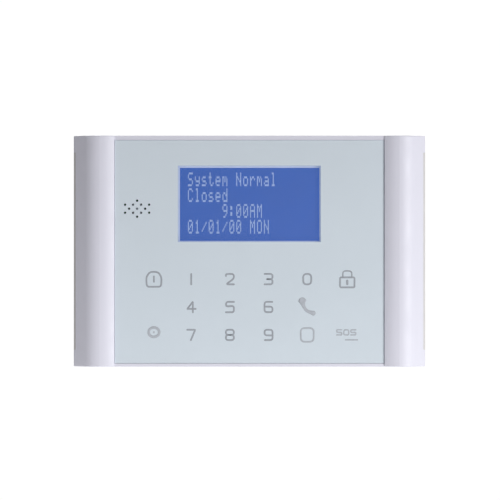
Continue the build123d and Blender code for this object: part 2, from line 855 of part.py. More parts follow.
def sim_card():
    """Card with one cut corner, its end just inside the bottom wall's finger notch."""
    f = main_board_f - sim_socket_t / 2
    z0 = -rear_z + 0.2
    card = plate(sim_x, z0 + sim_len / 2, sim_w, sim_len, f - sim_t / 2, f + sim_t / 2)
    corner = [
        e
        for e in card.edges().filter_by(Axis.Y)
        if e.center().X > sim_x and e.center().Z > z0 + sim_len / 2
    ]
    return chamfer(corner, sim_cut)


def power_switch():
    """Slide switch body, open where the knob runs."""
    f = main_board_f - switch_h / 2
    body = socket_body(switch_x, switch_w, switch_h, switch_len)
    dx = knob_travel / 2 + knob_w / 2 + knob_play
    df = knob_h / 2 + knob_play
    return body - slab(switch_x - dx, switch_x + dx, f - df, f + df, mouth_z - 1, mouth_z + 2)


def power_switch_knob():
    """Switch knob with three grip ribs, at the left end of its travel."""
    f = main_board_f - switch_h / 2
    x0 = switch_x - knob_travel / 2 - knob_w / 2
    bottom = -half_h + 0.3
    knob = slab(x0, x0 + knob_w, f - knob_h / 2, f + knob_h / 2, bottom + 0.4, mouth_z + 1.7)
    for i in range(3):
        x = x0 + knob_w * (i + 0.5) / 3
        rib = slab(x - 0.25, x + 0.25, f - knob_h / 2, f + knob_h / 2, bottom, bottom + 0.5)
        knob += rib
    return knob


def learn_button():
    """Push-button body for pairing sensors."""
    f = main_board_f - learn_h / 2
    body = socket_body(learn_x, learn_w, learn_h, learn_len)
    depth = learn_travel + 2.6
    return body - stem(learn_x, f, learn_cap_r + learn_play, mouth_z - 1, mouth_z + depth)


def learn_button_cap():
    """Round cap of the pairing button, sunk in the bottom wall."""
    f = main_board_f - learn_h / 2
    cap = stem(learn_x, f, learn_cap_r, -rear_z + 0.4, mouth_z + 2.4)
    return fillet(cap.edges().sort_by(Axis.Z)[0], 0.3)


# ---------------------------------------------------------------- tamper switch
def tamper_switch():
    """Tamper switch body; its plunger comes out towards the wall."""
    f0 = main_board_f - tamper_t
    body = on_board(tamper_x, tamper_z, tamper_w, tamper_w, tamper_t)
    guide_r, bore_r = plunger_r + plunger_play, plunger_flange_r + 0.3
    body -= post(tamper_x, tamper_z, guide_r, f0 - 1, main_board_f - 1)
    return body - post(tamper_x, tamper_z, bore_r, f0 + 0.8, main_board_f - 0.8)


def tamper_plunger():
    """Round-nosed plunger resting on the bracket's ramp, with its flange inside the switch."""
    tip_f = bracket_t + tip_gap
    flange_f = main_board_f - tamper_t + 0.8 + ramp_slope * lift + 0.3
    rod = post(tamper_x, tamper_z, plunger_r, tip_f + plunger_r, flange_f + 0.2)
    rod += Pos(tamper_x, -(tip_f + plunger_r), tamper_z) * Sphere(plunger_r)
    return rod + post(
        tamper_x, tamper_z, plunger_flange_r, flange_f, flange_f + plunger_flange_t
    )


# ---------------------------------------------------------------- battery and speaker
def cell_centres():
    """x of the two pouch cells' centres, and the z they share."""
    half = (cell_w + cell_gap) / 2
    return [battery_x - half, battery_x + half], main_top - battery_top - cell_h / 2


def battery_cells():
    """Two pouch cells side by side with rounded edges."""
    xs, z = cell_centres()
    f0 = recess_floor_f + battery_tape_t
    cells = []
    for x in xs:
        cell = plate(x, z, cell_w, cell_h, f0, f0 + cell_t, 1.5)
        cells.append(fillet(cell.faces().sort_by(Axis.Y)[0].edges(), 1.0))
    return cells


def battery_tape():
    """Foam tape that fixes the cells to the rear housing."""
    xs, z = cell_centres()
    f0 = recess_floor_f
    return [plate(x, z, cell_w - 6, cell_h - 8, f0, f0 + battery_tape_t) for x in xs]


def plug_place():
    """Centre of the battery plug, right of the cells."""
    xs, z = cell_centres()
    return xs[1] + cell_w / 2 + 4.0 + plug_w / 2, z + 6.0


def battery_socket():
    """Board socket of the battery plug."""
    x, z = plug_place()
    cup = on_board(x, z, plug_w + 1.6, plug_h + 1.6, 3.0)
    return cup - plate(x, z, plug_w + 0.2, plug_h + 0.2, 0, main_board_f - 0.8)


def battery_plug():
    """Plug on the battery's leads."""
    x, z = plug_place()
    return plate(x, z, plug_w, plug_h, main_board_f - 0.9 - plug_t, main_board_f - 0.9)


def battery_leads():
    """Two wires from the right-hand cell's top edge to the plug."""
    xs, z = cell_centres()
    x, plug_z = plug_place()
    f_cell = recess_floor_f + battery_tape_t + cell_t / 2
    f_plug = main_board_f - 0.9 - plug_t / 2 - 0.8
    wires = []
    for i, offset in enumerate((-1.2, 1.2)):
        high = z + cell_h / 2 + 3.5 + 1.8 * i
        start_x = xs[1] + 6 - 2.4 * i
        points = [(start_x, f_cell, z + cell_h / 2), (start_x, f_cell, high)]
        points += [(x + offset, f_cell, high), (x + offset, f_plug, high - 4.0 - 1.8 * i)]
        points += [(x + offset, f_plug, plug_z + plug_h / 2)]
        wires.append(lead_wire(points))
    return wires


def speaker_frame():
    """Pressed steel basket, open towards the grille."""
    f0 = recess_floor_f + speaker_gasket_t
    basket = post(0, speaker_z, speaker_r, f0, f0 + 1.2)
    basket += post(0, speaker_z, speaker_r * 0.8, f0 + 1.0, f0 + speaker_t - magnet_t)
    basket -= post(0, speaker_z, speaker_r * 0.86, f0, f0 + 0.8)
    return basket - post(0, speaker_z, speaker_r * 0.75, f0, f0 + speaker_t - magnet_t - 0.6)


def speaker_cone():
    """Domed diaphragm inside the basket."""
    f0 = recess_floor_f + speaker_gasket_t
    disc = post(0, speaker_z, speaker_r * 0.84, f0 + 0.35, f0 + 0.75)
    return disc + post(0, speaker_z, speaker_r * 0.3, f0 + 0.1, f0 + 0.5)


def speaker_magnet():
    """Magnet and its cup at the speaker's back."""
    f1 = recess_floor_f + speaker_gasket_t + speaker_t
    return post(0, speaker_z, magnet_r, f1 - magnet_t, f1)


def speaker_gasket():
    """Foam ring between the speaker and the rear housing."""
    f0 = recess_floor_f
    ring = post(0, speaker_z, speaker_r, f0, f0 + speaker_gasket_t)
    return ring - post(0, speaker_z, speaker_r - speaker_gasket_w, 0, crown_f)


def speaker_leads():
    """Two wires from the speaker's rim across to the main board."""
    rim_front_f = recess_floor_f + speaker_gasket_t + 1.2
    wires = []
    for i in range(2):
        z = speaker_z + 3.0 - 3.0 * i
        x0 = speaker_r - 1.4
        points = [(x0, rim_front_f, z), (x0, rim_front_f + 3.2, z)]
        points += [(x0 + 7.0 + 2.0 * i, rim_front_f + 3.2, z)]
        points += [(x0 + 7.0 + 2.0 * i, main_board_f, z)]
        wires.append(lead_wire(points))
    return wires


# ---------------------------------------------------------------- screws and bracket
def case_screws():
    """Four screws that join the housings from behind."""
    return [
        pan_screw(
            sx * case_screw_x,
            sz * case_screw_z,
            case_seat_f,
            case_screw_len,
            case_head_t,
            case_screw_r,
            case_head_r,
            1,
        )
        for sx in (-1, 1)
        for sz in (-1, 1)
    ]


def wall_bracket():
    """Steel wall plate with four upturned hooks, a cable window and the tamper ramp."""
    sheet = plate(0, 0, 2 * bracket_x, 2 * bracket_z, 0, bracket_t, bracket_corner)
    sheet -= plate(0, speaker_z, cable_window_w, cable_window_h, -1, bracket_t + 1, 4.0)
    for x in (-hook_x, hook_x):
        for seat in hook_seats:
            x0, x1 = x - hook_w / 2, x + hook_w / 2
            sheet += slab(x0, x1, 0, lip_f + hook_t, seat - hook_t, seat)
            sheet += slab(x0, x1, lip_f, lip_f + hook_t, seat - hook_t, seat + hook_rise)
    for sx in (-1, 1):
        for sz in (-1, 1):
            x, z = sx * wall_hole_dx / 2, sz * wall_hole_dz / 2
            sheet -= post(x, z, wall_hole_r, -1, bracket_t + 1)
            middle_f = bracket_t - countersink_depth / 2
            taper = Cone(wall_hole_r, countersink_r, countersink_depth)
            sheet -= Pos(x, -middle_f, z) * Rot(90, 0, 0) * taper
    end_z = tamper_z + lift + ramp_past
    end_f = bracket_t - ramp_slope * (lift + ramp_past)
    with BuildSketch(Plane.YZ.offset(tamper_x - ramp_w / 2)) as groove:
        with BuildLine():
            Polyline(
                (-bracket_t, tamper_z),
                (-end_f, end_z),
                (-bracket_t - 1, end_z),
                (-bracket_t - 1, tamper_z),
                close=True,
            )
        make_face()
    return sheet - extrude(groove.sketch, amount=ramp_w)


# ---------------------------------------------------------------- writing the sub-parts
def save(name, shape):
    """Write one sub-part to its own file; a list of like solids makes one group."""
    solids = shape if isinstance(shape, list) else [shape]
    whole = solids[0] if len(solids) == 1 else Compound(solids)
    whole.label = name
    export_step(whole, f"parts/{name}.step")


os.makedirs("parts", exist_ok=True)
save("side_trim_left", side_trim(-1))
save("side_trim_right", side_trim(1))
for make in (
    front_housing,
    rear_housing,
    touch_panel,
    panel_film,
    panel_tape,
    touch_board,
    touch_springs,
    key_leds,
    touch_chip,
    touch_board_screws,
    display_bezel,
    display_glass,
    display_backlight,
    display_board,
    microphone,
    mic_boot,
    main_board,
    board_screws,
    link_header,
    link_socket,
    main_chip,
    board_chips,
    capacitors,
    relay,
    line_transformer,
    clock_cell,
    clock_cell_holder,
    gsm_board,
    gsm_shield,
    gsm_antenna,
    radio_module,
    dc_jack,
    dc_jack_pin,
    phone_sockets,
    phone_contacts,
    siren_jack,
    terminal_block,
    terminal_screws,
    sim_socket,
    sim_card,
    power_switch,
    power_switch_knob,
    learn_button,
    learn_button_cap,
    tamper_switch,
    tamper_plunger,
    battery_cells,
    battery_tape,
    battery_socket,
    battery_plug,
    battery_leads,
    speaker_frame,
    speaker_cone,
    speaker_magnet,
    speaker_gasket,
    speaker_leads,
    case_screws,
    wall_bracket,
):
    save(make.__name__, make())
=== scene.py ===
"""Wall alarm keypad panel: finishes, printed key marks, display dots, floor, lights and camera.

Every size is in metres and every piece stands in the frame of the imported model: x to the right,
z up, and the front looking towards -y.
"""

import json
import math

import bpy
import numpy as np
from bpy.props import FloatProperty, FloatVectorProperty, PointerProperty
from bpy.types import Operator, Panel, PropertyGroup
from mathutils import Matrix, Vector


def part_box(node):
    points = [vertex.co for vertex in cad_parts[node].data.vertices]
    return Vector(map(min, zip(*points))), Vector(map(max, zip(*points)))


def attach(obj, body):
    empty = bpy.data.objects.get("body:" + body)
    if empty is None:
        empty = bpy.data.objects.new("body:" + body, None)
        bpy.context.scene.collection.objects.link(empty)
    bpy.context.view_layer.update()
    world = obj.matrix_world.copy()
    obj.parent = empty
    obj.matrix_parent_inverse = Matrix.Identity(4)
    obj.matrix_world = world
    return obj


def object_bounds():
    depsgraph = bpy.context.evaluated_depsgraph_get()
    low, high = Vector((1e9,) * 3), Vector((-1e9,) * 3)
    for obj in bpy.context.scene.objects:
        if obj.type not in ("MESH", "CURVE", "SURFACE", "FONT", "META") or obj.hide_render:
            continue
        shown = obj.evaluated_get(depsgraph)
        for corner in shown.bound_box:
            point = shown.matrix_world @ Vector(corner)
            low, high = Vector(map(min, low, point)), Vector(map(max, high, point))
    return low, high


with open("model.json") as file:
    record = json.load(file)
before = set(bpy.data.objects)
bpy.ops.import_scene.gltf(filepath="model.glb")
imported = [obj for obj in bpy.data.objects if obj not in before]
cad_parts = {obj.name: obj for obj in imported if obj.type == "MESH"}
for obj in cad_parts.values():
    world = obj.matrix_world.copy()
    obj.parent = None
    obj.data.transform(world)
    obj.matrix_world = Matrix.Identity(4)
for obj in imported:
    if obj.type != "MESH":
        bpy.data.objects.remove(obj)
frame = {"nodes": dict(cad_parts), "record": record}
cad_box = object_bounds()

bl_info = {
    "name": "Keypad panel",
    "version": (1, 0, 0),
    "blender": (4, 5, 0),
    "location": "View3D > Sidebar > Keypad",
    "description": "Finishes, printed marks and stage for a wall alarm keypad panel",
    "category": "Object",
}

MM = 0.001
SLOT_OF = {row["node"]: row["material_slot"] for row in frame["record"]["subparts"]}


# ------------------------------------------------------------------ settings
class ShellSettings(PropertyGroup):
    """Colours of the moulded and painted outside pieces."""

    housing_colour: FloatVectorProperty(
        name="Housing colour",
        description="Colour of the moulded front and rear housings",
        subtype="COLOR",
        size=3,
        min=0,
        max=1,
        default=(0.8, 0.795, 0.895),
    )
    trim_colour: FloatVectorProperty(
        name="Trim colour",
        description="Colour of the silver strips let into the two sides",
        subtype="COLOR",
        size=3,
        min=0,
        max=1,
        default=(0.7, 0.685, 0.685),
    )
    bracket_colour: FloatVectorProperty(
        name="Bracket colour",
        description="Colour of the painted steel wall bracket",
        subtype="COLOR",
        size=3,
        min=0,
        max=1,
        default=(0.6, 0.61, 0.62),
    )
    grain: FloatProperty(
        name="Moulding grain",
        description="Width of one speck of the spark-eroded texture on the housings",
        subtype="DISTANCE",
        unit="LENGTH",
        min=0,
        default=0.35 * MM,
    )


class PanelSettings(PropertyGroup):
    """The touch plate and the marks printed on it."""

    plate_colour: FloatVectorProperty(
        name="Plate colour",
        description="Colour of the frosted touch plate",
        subtype="COLOR",
        size=3,
        min=0,
        max=1,
        default=(0.711, 0.787, 0.857),
    )
    ink_colour: FloatVectorProperty(
        name="Ink colour",
        description="Colour of the printed key marks",
        subtype="COLOR",
        size=3,
        min=0,
        max=1,
        default=(0.36, 0.385, 0.43),
    )
    pale_ink_colour: FloatVectorProperty(
        name="Pale ink colour",
        description="Colour of the signs that are printed paler than the digits",
        subtype="COLOR",
        size=3,
        min=0,
        max=1,
        default=(0.47, 0.5, 0.55),
    )
    ink_stroke: FloatProperty(
        name="Ink stroke",
        description="Width of a printed line",
        subtype="DISTANCE",
        unit="LENGTH",
        min=0,
        default=0.9 * MM,
    )
    ink_height: FloatProperty(
        name="Ink thickness",
        description="How far the printing stands proud of the plate",
        subtype="DISTANCE",
        unit="LENGTH",
        min=0,
        default=0.03 * MM,
    )
    digit_width: FloatProperty(
        name="Digit width",
        description="Width of a printed digit over its strokes",
        subtype="DISTANCE",
        unit="LENGTH",
        min=0,
        default=5.0 * MM,
    )
    digit_height: FloatProperty(
        name="Digit height",
        description="Height of a printed digit over its strokes",
        subtype="DISTANCE",
        unit="LENGTH",
        min=0,
        default=6.2 * MM,
    )
    column_pitch: FloatProperty(
        name="Column pitch",
        description="Distance between the keys of one row",
        subtype="DISTANCE",
        unit="LENGTH",
        min=0,
        default=19.75 * MM,
    )
    row_pitch: FloatProperty(
        name="Row pitch",
        description="Distance between the rows of keys",
        subtype="DISTANCE",
        unit="LENGTH",
        min=0,
        default=14.25 * MM,
    )
    sign_shift: FloatProperty(
        name="Sign shift",
        description="How far the signs of the two outer columns sit right of their keys' middles",
        subtype="DISTANCE",
        unit="LENGTH",
        default=0.7 * MM,
    )
    bottom_row: FloatProperty(
        name="Bottom row",
        description="Plate's bottom edge to the middle of the bottom row of keys",
        subtype="DISTANCE",
        unit="LENGTH",
        min=0,
        default=14.5 * MM,
    )


class DisplaySettings(PropertyGroup):
    """The blue dot-matrix display behind the window."""

    glass_colour: FloatVectorProperty(
        name="Glass colour",
        description="Colour of the lit display between its dots",
        subtype="COLOR",
        size=3,
        min=0,
        max=1,
        default=(0.024, 0.105, 0.465),
    )
    dot_colour: FloatVectorProperty(
        name="Dot colour",
        description="Colour of a dot that is switched on",
        subtype="COLOR",
        size=3,
        min=0,
        max=1,
        default=(0.29, 0.385, 0.63),
    )
    frame_colour: FloatVectorProperty(
        name="Frame colour",
        description="Colour of the metal frame round the display",
        subtype="COLOR",
        size=3,
        min=0,
        max=1,
        default=(0.46, 0.49, 0.58),
    )
    # painted glow: emission on the metal frame, standing in for the display's light falling on it
    painted_frame_glow: FloatVectorProperty(
        name="Frame glow",
        description="Light that the display spills on its frame",
        subtype="COLOR",
        size=3,
        min=0,
        max=1,
        default=(0.14, 0.19, 0.32),
    )
    dot_pitch: FloatProperty(
        name="Dot pitch",
        description="Distance between the middles of two neighbouring dots",
        subtype="DISTANCE",
        unit="LENGTH",
        min=0,
        default=0.505 * MM,
    )
    dot_fill: FloatProperty(
        name="Dot fill",
        description="Share of the pitch that a dot covers",
        subtype="FACTOR",
        min=0.1,
        max=1,
        default=0.9,
    )
    dots_left: FloatProperty(
        name="Dots' left edge",
        description="Window's left edge to the first column of dots",
        subtype="DISTANCE",
        unit="LENGTH",
        min=0,
        default=5.1 * MM,
    )
    dots_top: FloatProperty(
        name="Dots' top edge",
        description="Window's top edge to the first row of dots",
        subtype="DISTANCE",
        unit="LENGTH",
        min=0,
        default=3.4 * MM,
    )


class StudioSettings(PropertyGroup):
    """Lights, floor and camera."""

    sky: FloatProperty(
        name="Sky level",
        description="Brightness of the even light from all round",
        min=0,
        default=0.155,
    )
    key_power: FloatProperty(
        name="Key light",
        description="Power of the large soft light at the front right",
        subtype="POWER",
        unit="POWER",
        min=0,
        default=35.7,
    )
    low_power: FloatProperty(
        name="Low light",
        description="Power of the long soft light below the front",
        subtype="POWER",
        unit="POWER",
        min=0,
        default=0.37,
    )
    top_power: FloatProperty(
        name="Top light",
        description="Power of the large soft light above and behind the panel",
        subtype="POWER",
        unit="POWER",
        min=0,
        default=24.0,
    )
    back_power: FloatProperty(
        name="Back light",
        description="Power of the large soft light behind the panel",
        subtype="POWER",
        unit="POWER",
        min=0,
        default=15.0,
    )
    lens: FloatProperty(
        name="Lens",
        description="Focal length of the camera, in millimetres",
        subtype="DISTANCE_CAMERA",
        min=1,
        default=200.0,
    )
    frame_width: FloatProperty(
        name="Frame width",
        description="Width that the camera takes in at the panel",
        subtype="DISTANCE",
        unit="LENGTH",
        min=0,
        default=255.8 * MM,
    )
    floor_drop: FloatProperty(
        name="Floor drop",
        description="Distance from the panel's lower edge down to the floor",
        subtype="DISTANCE",
        unit="LENGTH",
        min=0,
        default=0.19,
    )


SETTINGS = {
    "keypad_shell": ShellSettings,
    "keypad_panel": PanelSettings,
    "keypad_display": DisplaySettings,
    "keypad_studio": StudioSettings,
}


# ------------------------------------------------------------------ materials
class Finish:
    """A material while it is wired: its node tree, its shader and its Object coordinates."""

    def __init__(self, name, **sockets):
        self.mat = bpy.data.materials.new(name)
        self.mat.use_nodes = True
        self.tree = self.mat.node_tree
        self.shader = self.tree.nodes["Principled BSDF"]
        for label, value in sockets.items():
            self.shader.inputs[label.replace("_", " ")].default_value = value
        self.place = self.node("ShaderNodeTexCoord").outputs["Object"]

    def node(self, kind, **fields):
        """New node of that kind with those fields set."""
        made = self.tree.nodes.new(kind)
        for field, value in fields.items():
            setattr(made, field, value)
        return made

    def feed(self, value, socket):
        """Puts an output, or a plain value, on a socket."""
        if isinstance(value, bpy.types.NodeSocket):
            self.tree.links.new(value, socket)
        else:
            socket.default_value = value

    def calc(self, operation, *values):
        """Arithmetic on numbers."""
        made = self.node("ShaderNodeMath", operation=operation)
        for value, socket in zip(values, made.inputs):
            self.feed(value, socket)
        return made.outputs[0]

    def stretch(self, sx, sy, sz):
        """Object coordinates scaled by three factors, for grain that runs one way."""
        made = self.node("ShaderNodeMapping")
        made.inputs["Scale"].default_value = (sx, sy, sz)
        self.feed(self.place, made.inputs["Vector"])
        return made.outputs[0]

    def axes(self):
        """The three Object coordinates as numbers."""
        made = self.node("ShaderNodeSeparateXYZ")
        self.feed(self.place, made.inputs[0])
        return made.outputs

    def noise(self, size, detail=3.0, rough=0.55, place=None):
        """Cloudy pattern from 0 to 1 whose lumps are about size across."""
        made = self.node("ShaderNodeTexNoise")
        self.feed(place or self.place, made.inputs["Vector"])
        made.inputs["Scale"].default_value = 1 / size
        made.inputs["Detail"].default_value = detail
        made.inputs["Roughness"].default_value = rough
        return made.outputs["Fac"]

    def cells(self, size, output="Distance", feature="F1", place=None):
        """Cell pattern whose cells are about size across."""
        made = self.node("ShaderNodeTexVoronoi", feature=feature)
        self.feed(place or self.place, made.inputs["Vector"])
        made.inputs["Scale"].default_value = 1 / size
        return made.outputs[output]

    def span(self, value, low, high, to_low, to_high):
        """Carries low..high over to to_low..to_high, and holds the ends."""
        made = self.node("ShaderNodeMapRange")
        for v, socket in zip((value, low, high, to_low, to_high), made.inputs):
            self.feed(v, socket)
        return made.outputs[0]

    def blend(self, share, one, two):
        """Colour between one and two."""
        made = self.node("ShaderNodeMix", data_type="RGBA")
        self.feed(share, made.inputs[0])
        for value, socket in zip((one, two), (made.inputs[6], made.inputs[7])):
            if not isinstance(value, bpy.types.NodeSocket):
                value = (*value[:3], 1)
            self.feed(value, socket)
        return made.outputs[2]

    def colour(self, value):
        """Sets the base colour."""
        self.feed(value, self.shader.inputs["Base Color"])

    def rough(self, value):
        """Sets the roughness."""
        self.feed(value, self.shader.inputs["Roughness"])

    def relief(self, height, depth):
        """Bump whose height pattern of 0 to 1 stands for depth metres."""
        made = self.node("ShaderNodeBump")
        made.inputs["Distance"].default_value = depth
        self.feed(height, made.inputs["Height"])
        self.feed(made.outputs[0], self.shader.inputs["Normal"])


def shade(colour, factor):
    """A colour made lighter or darker by a factor, held below 1."""
    return tuple(min(float(c) * factor, 1.0) for c in colour)


def moulded(name, colour, grain=0.35 * MM, depth=0.012 * MM, rough=(0.42, 0.55), mottle=0.03):
    """Moulded plastic: spark-eroded grain, slow flow marks in the colour and uneven gloss."""
    f = Finish(name)
    flow = f.noise(26 * MM, 4, place=f.stretch(1, 1, 0.45))
    fleck = f.noise(grain, 2)
    dark, light = shade(colour, 1 - mottle), shade(colour, 1 + mottle / 2)
    tone = f.blend(f.span(flow, 0.3, 0.7, 0, 1), dark, light)
    f.colour(f.blend(f.span(fleck, 0.35, 0.75, 0, 0.3), tone, shade(colour, 1 - 2 * mottle)))
    gloss = f.noise(7 * MM, 3)
    f.rough(f.span(gloss, 0.3, 0.7, *rough))
    f.relief(fleck, depth)
    return f.mat


def rolled(name, colour, along=(1, 1, 14), streak=0.5 * MM, rough=(0.22, 0.4), mottle=0.1, metal=1.0):
    """Sheet metal: streaks that run with the rolling, faint blotches and fine scratches."""
    f = Finish(name, Metallic=metal)
    streaks = f.noise(streak, 3, place=f.stretch(*(1 / a for a in along)))
    blotch = f.noise(9 * MM, 3)
    scratch = f.cells(1.6 * MM, feature="DISTANCE_TO_EDGE", place=f.stretch(1, 1, 0.15))
    tone = f.blend(streaks, shade(colour, 1 - mottle), shade(colour, 1 + mottle))
    f.colour(f.blend(f.span(blotch, 0.4, 0.7, 0, 0.5), tone, shade(colour, 1 - 1.5 * mottle)))
    f.rough(f.calc("ADD", f.span(blotch, 0.3, 0.7, *rough), f.span(scratch, 0, 0.02, 0.12, 0)))
    f.relief(streaks, 0.006 * MM)
    return f.mat


def plated(name, colour, pit=0.4 * MM, rough=(0.2, 0.36), mottle=0.08):
    """Plated metal: fine crystals, dull spots where the plating is thin, and tiny pits."""
    f = Finish(name, Metallic=1.0)
    crystal = f.cells(pit, output="Color")
    dull = f.noise(2.4 * MM, 4)
    bright, dim = shade(colour, 1 + mottle), shade(colour, 1 - 2 * mottle)
    tone = f.blend(f.span(dull, 0.35, 0.7, 0, 1), bright, dim)
    mix = f.node("ShaderNodeMix", data_type="RGBA", blend_type="SOFT_LIGHT")
    mix.inputs[0].default_value = 0.18
    f.feed(tone, mix.inputs[6])
    f.feed(crystal, mix.inputs[7])
    f.colour(mix.outputs[2])
    f.rough(f.span(dull, 0.3, 0.75, *rough))
    f.relief(f.noise(pit, 2), 0.008 * MM)
    return f.mat


def painted(name, colour, metal=0.0, rough=(0.34, 0.46), peel=0.9 * MM, flake=0.0, mottle=0.03):
    """Sprayed paint: orange-peel ripple, bright flakes where it is metallic, and dulled patches."""
    f = Finish(name, Metallic=metal)
    patch = f.noise(14 * MM, 4)
    ripple = f.noise(peel, 1)
    dark, light = shade(colour, 1 - mottle), shade(colour, 1 + mottle)
    tone = f.blend(f.span(patch, 0.3, 0.7, 0, 1), dark, light)
    if flake:
        spark = f.cells(0.16 * MM)
        tone = f.blend(f.span(spark, 0.1, 0.5, flake, 0), tone, shade(colour, 1.35))
    f.colour(tone)
    f.rough(f.span(patch, 0.3, 0.7, *rough))
    f.relief(ripple, 0.01 * MM)
    return f.mat


def circuit_board(name):
    """Solder-masked board: tracks under the green mask, tinned pads, and a tan cut edge."""
    f = Finish(name)
    geometry = f.node("ShaderNodeNewGeometry")
    facing = f.node("ShaderNodeSeparateXYZ")
    f.feed(geometry.outputs["Normal"], facing.inputs[0])
    flat = f.span(f.calc("ABSOLUTE", facing.outputs[1]), 0.4, 0.6, 0, 1)
    grid = f.node("ShaderNodeTexVoronoi", feature="F1", distance="CHEBYCHEV")
    f.feed(f.place, grid.inputs["Vector"])
    grid.inputs["Scale"].default_value = 1 / (3.2 * MM)
    wander = f.calc("FRACT", f.calc("MULTIPLY", grid.outputs["Distance"], 5.0))
    track = f.span(f.calc("ABSOLUTE", f.calc("SUBTRACT", wander, 0.5)), 0.2, 0.26, 1, 0)
    pad = f.span(f.cells(2.6 * MM), 0.13, 0.17, 1, 0)
    weave = f.noise(0.6 * MM, 2)
    mask = f.blend(weave, (0.012, 0.1, 0.04), (0.02, 0.14, 0.055))
    tone = f.blend(track, mask, (0.05, 0.24, 0.09))
    tone = f.blend(pad, tone, (0.62, 0.62, 0.58))
    f.colour(f.blend(flat, (0.42, 0.36, 0.18), tone))
    f.feed(f.calc("MULTIPLY", pad, flat), f.shader.inputs["Metallic"])
    f.rough(f.span(f.noise(5 * MM, 3), 0.3, 0.7, 0.22, 0.42))
    f.relief(f.calc("ADD", track, pad), 0.03 * MM)
    return f.mat


PAINTED_GLOW_RIM = 1.2 * MM  # width of the rim round the window where a painted glow of the display's light lightens the plate


def touch_plate(settings, window):
    """Frosted plate: a fine even etch over a pale blue-grey, clear over the display window, with a
    painted glow that lightens a rim round the window.

    A point lies in the window where max(|x - cx| - half width, |z - cz| - half height) < 0.
    """
    f = Finish("frosted_plate", Coat_Weight=0.25, Coat_Roughness=0.3)
    colour = settings.plate_colour
    x, _, z = f.axes()
    (x0, z0), (x1, z1) = window

    def beyond(value, low, high):
        off = f.calc("ABSOLUTE", f.calc("SUBTRACT", value, (low + high) / 2))
        return f.calc("SUBTRACT", off, (high - low) / 2)

    out = f.calc("MAXIMUM", beyond(x, x0, x1), beyond(z, z0, z1))
    solid = f.span(out, -0.02 * MM, 0.02 * MM, 0, 1)
    etch = f.noise(0.22 * MM, 3, 0.6)
    cloud = f.noise(34 * MM, 3)
    tone = f.blend(f.span(cloud, 0.3, 0.7, 0, 1), shade(colour, 0.988), shade(colour, 1.012))
    tone = f.blend(f.span(etch, 0.35, 0.7, 0, 0.35), tone, shade(colour, 0.97))
    # painted glow: the plate's colour is made lighter near the window, as if the display lit it
    painted_glow_share = f.span(out, 0, PAINTED_GLOW_RIM, 0.35, 0)
    tone = f.blend(painted_glow_share, tone, shade(colour, 1.1))
    clear_tint, clear_rough, clear_alpha = (0.6, 0.68, 0.82), (0.08, 0.08, 0.08), 0.04
    f.colour(f.blend(solid, clear_tint, tone))
    smear = f.noise(22 * MM, 4, place=f.stretch(1, 1, 0.6))
    f.rough(f.blend(solid, clear_rough, f.span(smear, 0.3, 0.7, 0.4, 0.5)))
    f.feed(f.span(solid, 0, 1, clear_alpha, 1), f.shader.inputs["Alpha"])
    f.relief(f.calc("MULTIPLY", etch, solid), 0.006 * MM)
    return f.mat


def lit_glass(settings, box):
    """Lit display cell: blue, a little brighter to the right and the bottom, faint dot grid."""
    f = Finish("display_cell", Coat_Weight=0.6, Coat_Roughness=0.06, Emission_Strength=1.0)
    colour = settings.glass_colour
    low, high = box
    x, _, z = f.axes()
    right = f.span(x, low.x, high.x, 0, 0.6)
    down = f.span(z, high.z, low.z, 0, 0.4)
    grid = f.cells(settings.dot_pitch, feature="DISTANCE_TO_EDGE")
    cloud = f.noise(18 * MM, 3)
    bright = tuple(0.88 * level + pale for level, pale in zip(colour, (0.018, 0.012, 0)))
    lit = f.blend(f.calc("ADD", right, down), shade(colour, 0.78), bright)
    lit = f.blend(f.span(cloud, 0.3, 0.7, 0, 0.25), lit, shade(colour, 0.98))
    lit = f.blend(f.span(grid, 0, 0.06, 0.12, 0), lit, shade(colour, 0.6))
    f.colour(f.blend(cloud, shade(colour, 0.1), shade(colour, 0.16)))
    f.feed(lit, f.shader.inputs["Emission Color"])
    f.rough(f.span(cloud, 0.3, 0.7, 0.1, 0.18))
    return f.mat


def frame_with_painted_glow(colour, painted_glow_colour):
    """Display's metal frame: brushed along its length, with a painted glow of the light guide's light
    on its face, given as emission.
    """
    f = Finish("display_frame", Metallic=0.2, Emission_Strength=1.0)
    brushed = f.noise(0.5 * MM, 3, place=f.stretch(0.08, 1, 1))
    glow = f.noise(7 * MM, 3)
    f.colour(f.blend(brushed, shade(colour, 0.94), shade(colour, 1.06)))
    # painted glow: the frame emits light though it is no lamp
    f.feed(f.blend(glow, shade(painted_glow_colour, 0.9), shade(painted_glow_colour, 1.1)), f.shader.inputs["Emission Color"])
    f.rough(f.span(glow, 0.3, 0.7, 0.34, 0.48))
    f.relief(brushed, 0.004 * MM)
    return f.mat


def lit_dot(settings):
    """Dot that is switched on: pale blue light with a soft unevenness from the light guide."""
    f = Finish("display_dot", Emission_Strength=1.0)
    colour = settings.dot_colour
    cloud = f.noise(9 * MM, 3)
    f.feed(f.blend(cloud, shade(colour, 0.86), shade(colour, 1.1)), f.shader.inputs["Emission Color"])
    f.colour(f.blend(cloud, shade(colour, 0.1), shade(colour, 0.14)))
    f.rough(f.span(cloud, 0.3, 0.7, 0.3, 0.4))
    return f.mat


def screen_ink(name, colour):
    """Screen-printed ink: the mesh's faint dots, thin spots and a matt, slightly uneven film."""
    f = Finish(name)
    mesh_dots = f.cells(0.18 * MM)
    thin = f.noise(1.6 * MM, 3)
    tone = f.blend(f.span(thin, 0.3, 0.7, 0, 1), shade(colour, 0.93), shade(colour, 1.1))
    f.colour(f.blend(f.span(mesh_dots, 0.2, 0.6, 0, 0.2), tone, shade(colour, 1.2)))
    f.rough(f.span(thin, 0.3, 0.7, 0.5, 0.62))
    f.relief(mesh_dots, 0.004 * MM)
    return f.mat


